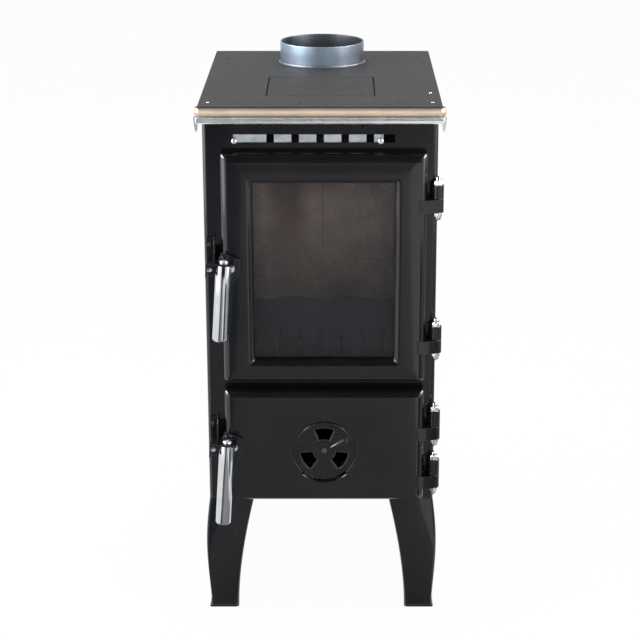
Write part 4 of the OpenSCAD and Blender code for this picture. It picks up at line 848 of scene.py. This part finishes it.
class STOVE_OT_bright_edge(bpy.types.Operator):
    """Bulging polished band round the plate's edge and the chrome rail that hangs in front of it"""
    bl_idname = "stove.bright_edge"
    bl_label = "Trim and rail"

    def execute(self, context):
        low, high, middle = box_of("edge_trim")
        plate_low, plate_high, _ = box_of("cooking_plate")
        half, inner = (high[2] - low[2]) / 2, 0.15
        bulge = 9.0
        reach = np.degrees(np.arcsin(np.clip((half - 0.2) / bulge, 0, 1)))
        face = arc((plate_low[1] - low[1] - bulge, 0), bulge, -reach, reach, 14)
        shoulder = max(face[0, 0] - 0.2, inner + 0.4)
        foot = np.array([(inner, 0.2 - half), (inner + 0.2, -half), (shoulder, -half)])
        section = np.concatenate([foot, face, foot[::-1] * [1, -1]])
        path, out = trim_path(plate_low[0], plate_high[0], plate_low[1], high[1], middle[2], 4.0)
        make_piece("bright_trim", [skin(capped(swept(path, section, out, UP)), close_columns=True)],
                   "edge_trim", "trim", 35)
        low, high, middle = box_of("towel_rail")
        radius, length = (high[2] - low[2]) / 2, high[0] - low[0]
        rim = arc((radius - 1.2, 1.2), 1.2, -90, 0, 5)
        profile = np.concatenate([[(0, 0)], rim, [(radius, length / 2)],
                                  (rim * [1, -1] + [0, length])[::-1], [(0, length)]])
        make_piece("bright_rail", [turned(profile, (low[0], middle[1], middle[2]), RIGHT)],
                   "towel_rail", "rail")
        return {"FINISHED"}


COLLAR_OUT, COLLAR_IN = 65.0, 62.5
COLLAR_BACK = 359.0     # from the plate's front edge to the collar's axis
WELD_BEAD = 2.6
WELD_RIPPLES = 78


class STOVE_OT_flue_collar(bpy.types.Operator):
    """Flue collar with a rounded rim and a rippled weld bead at its foot"""
    bl_idname = "stove.flue_collar"
    bl_label = "Flue collar"

    def execute(self, context):
        low, high, middle = box_of("flue_collar")
        plate_low, plate_high, _ = box_of("cooking_plate")
        foot, tall = low[2] - plate_high[2], high[2] - plate_high[2]
        profile = np.concatenate([
            [(COLLAR_OUT, foot), (COLLAR_OUT, 0)],
            arc((COLLAR_OUT + WELD_BEAD, WELD_BEAD), WELD_BEAD, 270, 180),
            [(COLLAR_OUT, 8), (COLLAR_OUT, tall / 2)], arc((COLLAR_OUT - 0.8, tall - 0.8), 0.8, 0, 90, 4),
            arc((COLLAR_IN + 0.8, tall - 0.8), 0.8, 90, 180, 4),
            [(COLLAR_IN, tall / 2), (COLLAR_IN, foot), (COLLAR_OUT, foot)]])

        def ripple(height, angle):
            """Scales of the bead: 0.55 * (1 - lap^2) over each lap from -1 to 1, fading off the bead."""
            lap = (angle * WELD_RIPPLES / np.pi + 0.9 * np.sin(3 * angle)) % 2 - 1
            on_bead = np.clip(1 - np.abs(height - 1.4) / 2.4, 0, 1) * (profile[:, :1] > COLLAR_OUT - 0.1)
            return on_bead * (0.55 * (1 - lap ** 2) - 0.15)

        origin = (middle[0], plate_low[1] + COLLAR_BACK, plate_high[2])
        make_piece("flue_collar_turned", [turned(profile, origin, UP, 6 * WELD_RIPPLES, ripple)],
                   "flue_collar", "collar")
        return {"FINISHED"}


def acorn_nut(base, up, flats=11.0, hexagon=5.5, dome=7.0):
    """Acorn nut: radius (flats / 2) / cos of the angle in each sixth, chamfered, then a shoulder and a round
    dome. Up is 1, or -1 for a nut that hangs down."""
    angle = full_turn(72)
    side = flats / 2 / np.cos((angle + np.pi / 6) % (np.pi / 3) - np.pi / 6)
    crown = flats / 2 - 1
    cap = crown - 0.2
    rows = [(0, 0), (side - 0.3, 0), (side, 0.3), (side, hexagon - 0.7),
            (np.minimum(side, flats / 2 + 0.2), hexagon), (crown, hexagon)]
    rows += [(x, hexagon + dome - cap + y * cap / crown) for x, y in arc((0, 0), crown, 0, 90, 9)]
    points = [np.stack([radius * np.cos(angle), radius * np.sin(angle), np.full(len(angle), up * height)], -1)
              for radius, height in rows]
    return skin(np.asarray(base) + points, close_columns=True)


# For each hinge: the top of the door's lug and the height of the barrel over it.
HINGES = ((638.0, 20.0), (430.0, 20.0), (297.0, 24.0), (221.0, 24.0))
LUG_TALL = 19.5
BARREL_GAP, NUT_GAP = 0.6, 0.3


class STOVE_OT_hinge_fixings(bpy.types.Operator):
    """Acorn nuts above and below each hinge"""
    bl_idname = "stove.hinge_fixings"
    bl_label = "Hinge nuts"

    def execute(self, context):
        x, y, _ = joint_place("fire_door_swing")
        skins = []
        for top, barrel in HINGES:
            skins += [acorn_nut((x, y, top + BARREL_GAP + barrel), 1),
                      acorn_nut((x, y, top - LUG_TALL - NUT_GAP), -1)]
        make_piece("hinge_acorn_nuts", skins, "hinge_nuts", "chrome", 30)
        return {"FINISHED"}


# ---------- legs ----------

LEG_LIP = 9.0           # how far the legs' inner edges turn back
LEG_CORNER = 3.5        # radius of the bend between front and side


def leg_sheet_grid(base, bend, sheet):
    """Half-box leg as rows over height: lip, bend, front face, round corner, side face, bend and lip.

    The outer edge bows out by 5.5 * sin(pi * share^1.3) with a 3 mm flare at the foot, and the inner edge
    lies 41 + 25 * share^1.75 in from the casing's side, share being the height over the base's. Each row is a
    line in plan whose corners are quarter circles; the sheet's inside is the same line set inwards, and both
    ends of the sheet are drawn together.
    """
    z = np.unique(np.concatenate([[0, 4, 7, 11], np.linspace(14, base, 40)]))
    out = -5.5 * np.sin(np.pi * (z / base) ** 1.3) - 3.0 * np.clip(1 - z / 14, 0, 1) ** 2
    inner = 41.0 + 25.0 * (z / base) ** 1.75
    turn = np.radians(np.linspace(0, 90, 7))[:, None]

    def side(inset):
        """One side of the sheet (points, heights, 2); the half after the corner mirrors the half before."""
        soft, tight = max(bend - inset, 0.6), max(LEG_CORNER - inset, 0.6)
        o, i = out + inset, inner - inset
        lip = np.stack([i, np.full(len(z), LEG_LIP)], -1)[None]
        rolled = np.stack([i - soft + soft * np.cos(turn), o + soft - soft * np.sin(turn)], -1)
        corner = np.stack([o + tight - tight * np.sin(turn), o + tight - tight * np.cos(turn)], -1)
        half = np.concatenate([lip, rolled])
        return np.concatenate([half, corner, half[::-1, :, ::-1]])

    loop = np.concatenate([side(0.0), side(sheet)[::-1]])
    grid = np.concatenate([loop, np.broadcast_to(z, loop.shape[:2])[..., None]], -1).transpose(1, 0, 2)
    first, last = ((row + row[::-1])[None] / 2 for row in (grid[0], grid[-1]))
    return np.concatenate([first, grid, last])


class STOVE_OT_legs(bpy.types.Operator):
    """Four pressed legs with bowed outer faces, rolled inner edges and flared feet"""
    bl_idname = "stove.legs"
    bl_label = "Legs"

    def execute(self, context):
        low, high, _ = box_of("casing")
        base, sheet = low[2], size("leg_sheet")
        skins = [skin(leg_sheet_grid(base, size("leg_bend"), sheet), close_columns=True),
                 block((-2.0, -2.0, 0.0), (38.2, 38.2, 4.0)),
                 block((sheet, sheet, base - 3), (sheet + 48, sheet + 48, base))]
        for rear, depth in enumerate(("front", "rear")):
            for right, side in enumerate(("left", "right")):
                name = "leg_%s_%s" % (depth, side)
                corner = np.array([(low, high)[right][0], (low, high)[rear][1], 0])
                inwards = np.array([1 - 2 * right, 1 - 2 * rear, 1])
                make_piece(name + "_pressed", [(corner + points * inwards, quads) for points, quads in skins],
                           name, "leg_enamel")
        return {"FINISHED"}


# ---------- soft seals ----------

def seal_path(node, radius, bend, steps):
    """Centre line of a closed seal, its outward direction and length so far at each point, and its whole
    length."""
    middle = box_of(node)[2]
    path = upright_loop(front_spans(node) - 2 * radius, bend, middle, middle[1], steps, 8)
    gaps = np.linalg.norm(np.roll(path, -1, 0) - path, axis=1)
    return path, np.cross(BACK, ring_directions(path)), np.cumsum(gaps) - gaps, gaps.sum()


def braided_ring(node, lay):
    """Rope of six strands, three wound each way round one centre line.

    A strand's centre is path + r(s) * (cos p * out + sin p * back), p = turn * s; r swells and dips six
    times a turn so that the strands pass over and under each other.
    """
    low, high, _ = box_of(node)
    rope_r = (high[1] - low[1]) / 2
    path, out, length, total = seal_path(node, rope_r, 4.5, 150)
    run = 2 * np.pi * max(1, round(total / lay)) * length / total
    around = full_turn(8)[None, :, None]
    skins = []
    for way, start, lift in ((1, 0.5, 0), (-1, 0, np.pi)):
        spread = rope_r * (0.57 + 0.07 * np.cos(6 * run + lift))[:, None]
        for third in range(3):
            phase = (way * run + 2 * np.pi * third / 3 + start)[:, None]
            core = path + spread * (np.cos(phase) * out + np.sin(phase) * np.array(BACK))
            along = ring_directions(core)
            first = unit(np.cross(along, BACK))
            second = np.cross(along, first)
            strand = np.cos(around) * first[:, None] + np.sin(around) * second[:, None]
            skins.append(skin(core[:, None] + rope_r * 0.36 * strand, close_rows=True, close_columns=True))
    return skins


def squared(value):
    """A cosine or sine pushed towards 1 or -1, which turns a circle into a soft square."""
    return np.sign(value) * np.abs(value) ** 0.35


class STOVE_OT_seals(bpy.types.Operator):
    """Braided rope seals in both doors' channels and the woven tape between lip and glass"""
    bl_idname = "stove.seals"
    bl_label = "Rope seals and tape"

    def execute(self, context):
        for door in ("fire", "ash"):
            node = door + "_door_seal"
            strands = braided_ring(node, size("rope_lay"))
            make_piece(door + "_rope_braided", strands, node, "rope", 60)
        low, high, _ = box_of("glass_gasket")
        thick, wide, stitch, weave = high[1] - low[1], 5.0, 2.4, 0.16
        path, out, length, total = seal_path("glass_gasket", wide / 2, 3.0, 120)
        around = full_turn(24)
        section = np.stack([squared(np.cos(around)) * (wide / 2 - 0.2),
                            squared(np.sin(around)) * (thick / 2 - 0.01 - weave)], -1)
        grid = swept(path, section, out, BACK)
        herring = np.where(np.abs(section[:, 1]) > 0.3, np.sign(section[:, 1]), 0)
        relief = herring * np.cos(np.pi * section[:, 0] / wide)
        grid[..., 1] += weave * np.sin(2 * np.pi * length / total * round(total / stitch))[:, None] * relief
        make_piece("glass_tape_woven", [skin(grid, close_rows=True, close_columns=True)],
                   "glass_gasket", "rope", 60)
        return {"FINISHED"}


# ---------- small fixings ----------

def cross_head(radius, tall, origin, axis, slot=0.0, rings=9, steps=32):
    """Pan head: height is tall * (1 - share^3.2)^0.55 at each share of the radius, less a cross recess.

    The recess is where either of two bars through the middle is within its half width.
    """
    axis, u, v = frame_round(axis)
    share = np.concatenate([np.linspace(0, 0.62, rings), [0.75, 0.87, 0.95, 0.99, 1.0]])[:, None]
    angle = full_turn(steps)
    x, y = share * radius * np.cos(angle), share * radius * np.sin(angle)
    height = tall * (1 - share ** 3.2) ** 0.55
    if slot:
        bar, far = np.minimum(np.abs(x), np.abs(y)), np.maximum(np.abs(x), np.abs(y))
        narrow, short = smooth_step(bar, slot * 0.6, slot), smooth_step(far, radius * 0.5, radius * 0.62)
        height = height - 0.62 * tall * (1 - narrow) * (1 - short)
    flat = np.asarray(origin, float) + x[..., None] * u + y[..., None] * v
    centre = np.broadcast_to(origin, (1, steps, 3))
    return skin(np.concatenate([flat + height[..., None] * axis, flat[-1:], centre]), close_columns=True)


CATCH_TOP, CATCH_DROPS = 39.0, (11.5, 44)   # a catch's top over its lever's pivot, and its screws below that
DOME_INSET, DOME_FRONT = 13, 29             # dome heads from the plate's side and front edges


class STOVE_OT_screws(bpy.types.Operator):
    """Dome heads in the plate, and cross-recessed screws on the catches, the back and the glass clips"""
    bl_idname = "stove.screws"
    bl_label = "Screws"

    def execute(self, context):
        top = box_of("plate_screws")[0][2]
        low, high, _ = box_of("cooking_plate")
        side, rear = high[0] - DOME_INSET, high[1] - low[1] - 69
        corners = [(-side, DOME_FRONT), (side, DOME_FRONT), (side, 98)]
        row = [(9 - side, rear), (side - 9, rear)] + [(x, DOME_FRONT) for x in (-117, -86, -29, 10, 75, 111)]
        # The corner heads get the bright plated finish as a painted highlight for their glints; the rest get the
        # dull one.
        for name, places, finish in (("corner_dome_heads_painted_glint", corners, "fixing"),
                                     ("plate_dome_heads", row, "dull_head")):
            skins = [cross_head(2.0, 1.0, (x, low[1] + y, top), UP, rings=5, steps=24) for x, y in places]
            make_piece(name, skins, "plate_screws", finish, 50)

        low, high, middle = box_of("catch_screws")
        tops = [joint_place(door + "_latch_turn")[2] + CATCH_TOP for door in ("fire", "ash")]
        skins = [cross_head(3.0, high[1] - low[1], (middle[0], high[1], top - drop), FRONT, 0.45)
                 for top in tops for drop in CATCH_DROPS]
        make_piece("catch_screw_heads", skins, "catch_screws", "dull_head")

        for name, node, radius, levels, cross, slot in (
                ("back_screw_heads", "back_screws", 4.0, 4, 0.55, "bare_steel"),
                ("clip_screw_heads", "clip_screws", CLIP_SCREW_RADIUS, 2, 0.5, "chrome_parts")):
            low, high, _ = box_of(node)
            skins = [cross_head(radius, high[1] - low[1], (x, low[1], z), BACK, cross)
                     for x, z in edge_places(node, radius, levels)]
            make_piece(name, skins, node, "fixing")
        return {"FINISHED"}


class STOVE_OT_slider_knobs(bpy.types.Operator):
    """Knurled finger screws of the air slider"""
    bl_idname = "stove.slider_knobs"
    bl_label = "Slider knobs"

    def execute(self, context):
        low, high, middle = box_of("slider_knobs")
        reach, radius, ribs = high[1] - low[1], 4.0, context.scene.stove_sizes.knurls
        head = reach - 5.0
        profile = [(0, 0), (2, 0), (2, head), (3.4, head), (3.85, head + 0.4), (3.85, reach - 1.4),
                   (3.5, reach - 0.9), (2.6, reach - 0.35), (1.3, reach - 0.08), (0, reach)]

        def knurl(height, angle):
            """Ribs: 0.14 * cos(ribs * angle) along the head's grip."""
            grip = (height > head + 0.2) & (height < reach - 1.2)
            return np.where(grip, 0.14 * np.cos(ribs * angle), 0.0)

        skins = [turned(profile, (x, high[1], middle[2]), FRONT, 80, knurl)
                 for x in (low[0] + radius, high[0] - radius)]
        make_piece("slider_finger_screws", skins, "slider_knobs", "fixing", 50)
        return {"FINISHED"}


# ---------- ironwork kept from the frame ----------

class STOVE_OT_ironwork(bpy.types.Operator):
    """Levers, lugs, hinge leaves, catches, plate, lid and inner parts with rounded edges"""
    bl_idname = "stove.ironwork"
    bl_label = "Levers, hinges and plates"

    def execute(self, context):
        soft = size("edge_round")
        for finish, slot, width, nodes in (
                ("hardware", "black_steel", 1.2,
                 ("fire_latch_lever", "ash_latch_lever", "fire_door_lugs", "ash_door_lugs")),
                ("hardware", "black_steel", soft, ("hinge_brackets", "fire_catch", "ash_catch")),
                ("rail", "polished_trim", soft / 2, ("rail_brackets",)),
                ("plate", "plate_iron", 0.3, ("cooking_plate",)),
                ("lid", "plate_iron", soft, ("cooking_lid",)),
                ("retainer", "cast_parts", soft, ("log_retainer",)),
                ("casting", "cast_parts", soft, ("grate",)),
                ("brick", "firebrick", 1.5, ("firebrick_left", "firebrick_right")),
                ("brick", "firebrick", soft / 2, ("firebrick_back",)),
                ("fixing", "bare_steel", soft / 2, ("glass_clips",)),
                ("fixing", "chrome_parts", soft, ("ash_pan_pull",)),
                # The ash pan takes the dark scaled iron: painted shade for the dark seen behind the valve's
                # windows.
                ("iron", "bare_steel", soft / 2, ("ash_pan",))):
            for node in nodes:
                softened(node, finish, width)
        return {"FINISHED"}


class STOVE_OT_finishes(bpy.types.Operator):
    """Finishes on the pieces that stay as they are in the frame"""
    bl_idname = "stove.finishes"
    bl_label = "Finishes"

    def execute(self, context):
        for finish, nodes in (
                ("enamel", ("casing",)), ("back", ("back_panel", "base_plate")),
                ("iron", ("lid_ledge", "front_frame", "firebox_shell", "grate_tray", "smoke_baffle",
                          "fire_seal_channel", "ash_seal_channel")),
                ("sooted", ("air_grille",)), ("zinc", ("air_slider",)), ("glass", ("fire_glass",)),
                ("fixing", ("hinge_pins", "leg_bolts", "fire_latch_pivot", "ash_latch_pivot"))):
            for node in nodes:
                paint(NODES[node].data, finish)
        return {"FINISHED"}


# ---------- stage ----------

def plain_sheet(name, corners, finish):
    """Flat stage sheet through four corners."""
    mesh = bpy.data.meshes.new(name)
    mesh.from_pydata(corners, [], [(0, 1, 2, 3)])
    mesh.materials.append(finish)
    sheet = bpy.data.objects.new(name, mesh)
    bpy.context.scene.collection.objects.link(sheet)
    return sheet


def soft_lamp(name, place, target, lamp_size, watts, colour=(1, 1, 1), hidden_from=None):
    """Rectangular area lamp aimed at a point. It can be hidden from one kind of ray."""
    lamp = bpy.data.lights.new(name, "AREA")
    lamp.shape = "RECTANGLE"
    lamp.size, lamp.size_y = lamp_size
    lamp.energy = watts
    lamp.color = colour
    holder = bpy.data.objects.new(name, lamp)
    bpy.context.scene.collection.objects.link(holder)
    holder.location = place
    holder.rotation_euler = (Vector(target) - Vector(place)).to_track_quat("-Z", "Y").to_euler()
    if hidden_from:
        setattr(holder, "visible_" + hidden_from, False)


def pale_floor():
    """Matt pale floor that keeps the stove's shadow and reads nearly white to the camera."""
    r = Recipe("Pale_floor")
    base = r.mixed(r.ramp(r.noise(0.8, 2.0), 0.4, 0.6), (0.90, 0.90, 0.905), (0.93, 0.93, 0.93))
    matt = r.add("BsdfDiffuse", {"Color": base})
    glow = r.add("Emission", {"Color": (1, 1, 1), "Strength": 1.0})
    return r.end(r.add("MixShader", {0: r.math("MULTIPLY", r.seen(), 0.95), 1: matt, 2: glow}))


def plain_world():
    """Surroundings that are white to whatever sees them and dimmer as a light."""
    r = Recipe("Plain_surroundings", "World")
    return r.end(r.add("Background", {0: (1, 1, 1), 1: r.ramp(r.seen(), 0.0, 1.0, 0.62, 1.0)}))


def flag_cloth(name, colour):
    """Dull flag cloth."""
    r = Recipe(name)
    cloth = r.mottled(r.noise(1.5, 2.0), colour, 0.95, 1.05, 0.4, 0.6)
    return r.end(r.add("BsdfDiffuse", {"Color": cloth}))


def flag(name, corners, cloth):
    """A flag that only reflections see, as a photographer lays beside a shiny black thing."""
    sheet = plain_sheet(name, corners, cloth)
    for sight in ("camera", "diffuse", "volume_scatter", "shadow"):
        setattr(sheet, "visible_" + sight, False)


class STOVE_OT_stage(bpy.types.Operator):
    """Pale floor, plain light, flags in front and the camera at the photograph's angle"""
    bl_idname = "stove.stage"
    bl_label = "Stage, light and camera"

    def execute(self, context):
        scene = context.scene
        scene.world = plain_world()
        scene.view_settings.view_transform = "Standard"
        plain_sheet("floor_sheet", [(-15, -15, 0), (15, -15, 0), (15, 15, 0), (-15, 15, 0)], pale_floor())
        self.hang_flags()
        self.set_lamps()
        lens = bpy.data.cameras.new("photo_camera")
        lens.sensor_width, lens.lens = 36, 105.6
        lens.shift_x, lens.shift_y = -0.0291, -0.0258
        camera = bpy.data.objects.new("photo_camera", lens)
        scene.collection.objects.link(camera)
        camera.location = (0.0258, -2.75975, 1.2877)
        camera.rotation_euler = (np.radians(90 - 17.45), 0, 0)
        scene.camera = camera
        return {"FINISHED"}

    def hang_flags(self):
        """Four flags lie a few millimetres over the floor, one stands far in front and one hangs overhead."""
        front, dark, grey, black = (flag_cloth(name, colour) for name, colour in (
            ("Front_flag", (0.26, 0.25, 0.27)), ("Dark_flag", (0.055, 0.075, 0.085)),
            ("Grey_flag", (0.30, 0.32, 0.34)), ("Black_flag", (0.02, 0.02, 0.02))))
        for level, name, cloth, outline in (
                (4, "flag_front", front, ((-0.37, -4.3), (0.385, -4.3), (0.195, -0.195), (-0.21, -0.195))),
                (5, "flag_left", dark, ((-1.75, -4.3), (-0.36, -4.3), (-0.2, -0.195), (-0.26, -0.195))),
                (6, "flag_right", dark, ((1.06, -2.19), (1.88, -1.32), (0.30, -0.35), (0.24, -0.55))),
                (7, "flag_side", grey, ((0.55, -0.50), (3.4, -1.9), (3.4, 3.2), (0.55, 3.2)))):
            flag(name, [(x, y, level * MM) for x, y in outline], cloth)
        far, top = -4.4, 2.8
        flag("flag_far", [(-1.8, far, 0.01), (1.8, far, 0.01), (1.8, far, top), (-1.8, far, top)], black)
        flag("flag_above", [(-1.8, far, top), (1.8, far, top), (1.0, 0.9, 2.7), (-1.0, 0.9, 2.7)], black)

    def set_lamps(self):
        """Soft lamps round the stove, and two strips high at the sides that only reflections see."""
        body = (0, -0.1, 0.45)
        soft_lamp("left_softbox", (-2.2, -0.9, 0.9), body, (2.0, 2.2), 40, (0.92, 0.965, 1.0))
        soft_lamp("right_softbox", (2.3, -1.2, 1.0), body, (0.8, 2.0), 14)
        soft_lamp("top_softbox", (0, 0.4, 2.8), (0, 0, 0.6), (1.8, 1.4), 34)
        soft_lamp("front_fill", (0.3, -3.2, 1.1), (0, 0, 0.55), (1.6, 1.0), 45, hidden_from="glossy")
        for name, x, watts in (("strip_left", -2.1, 170), ("strip_right", 2.1, 140)):
            soft_lamp(name, (x, -0.5, 1.93), (0, -0.5, 0.7), (2.6, 0.7), watts, hidden_from="diffuse")


# ---------- sidebar ----------

PIECES = (
    STOVE_OT_fire_door, STOVE_OT_ash_door, STOVE_OT_air_valve, STOVE_OT_grips, STOVE_OT_bright_edge,
    STOVE_OT_flue_collar, STOVE_OT_hinge_fixings, STOVE_OT_legs, STOVE_OT_seals, STOVE_OT_screws,
    STOVE_OT_slider_knobs, STOVE_OT_ironwork, STOVE_OT_finishes, STOVE_OT_stage,
)


class STOVE_PT_sidebar(bpy.types.Panel):
    """Sizes, colours and pieces of the stove"""
    bl_label = "Stove"
    bl_idname = "STOVE_PT_sidebar"
    bl_space_type = "VIEW_3D"
    bl_region_type = "UI"
    bl_category = "Stove"

    def draw(self, context):
        for values in (context.scene.stove_sizes, context.scene.stove_colours):
            box = self.layout.box()
            for name in values.__annotations__:
                box.prop(values, name)
        for piece in PIECES:
            self.layout.operator(piece.bl_idname)


CLASSES = (StoveSizes, StoveColours) + PIECES + (STOVE_PT_sidebar,)


def register():
    for cls in CLASSES:
        bpy.utils.register_class(cls)
    bpy.types.Scene.stove_sizes = PointerProperty(type=StoveSizes)
    bpy.types.Scene.stove_colours = PointerProperty(type=StoveColours)


def unregister():
    del bpy.types.Scene.stove_colours
    del bpy.types.Scene.stove_sizes
    for cls in reversed(CLASSES):
        bpy.utils.unregister_class(cls)


def main():
    register()
    mix_finishes(bpy.context.scene.stove_colours)
    for piece in PIECES:
        group, name = piece.bl_idname.split(".")
        getattr(getattr(bpy.ops, group), name)()


if __name__ == "__main__":
    main()
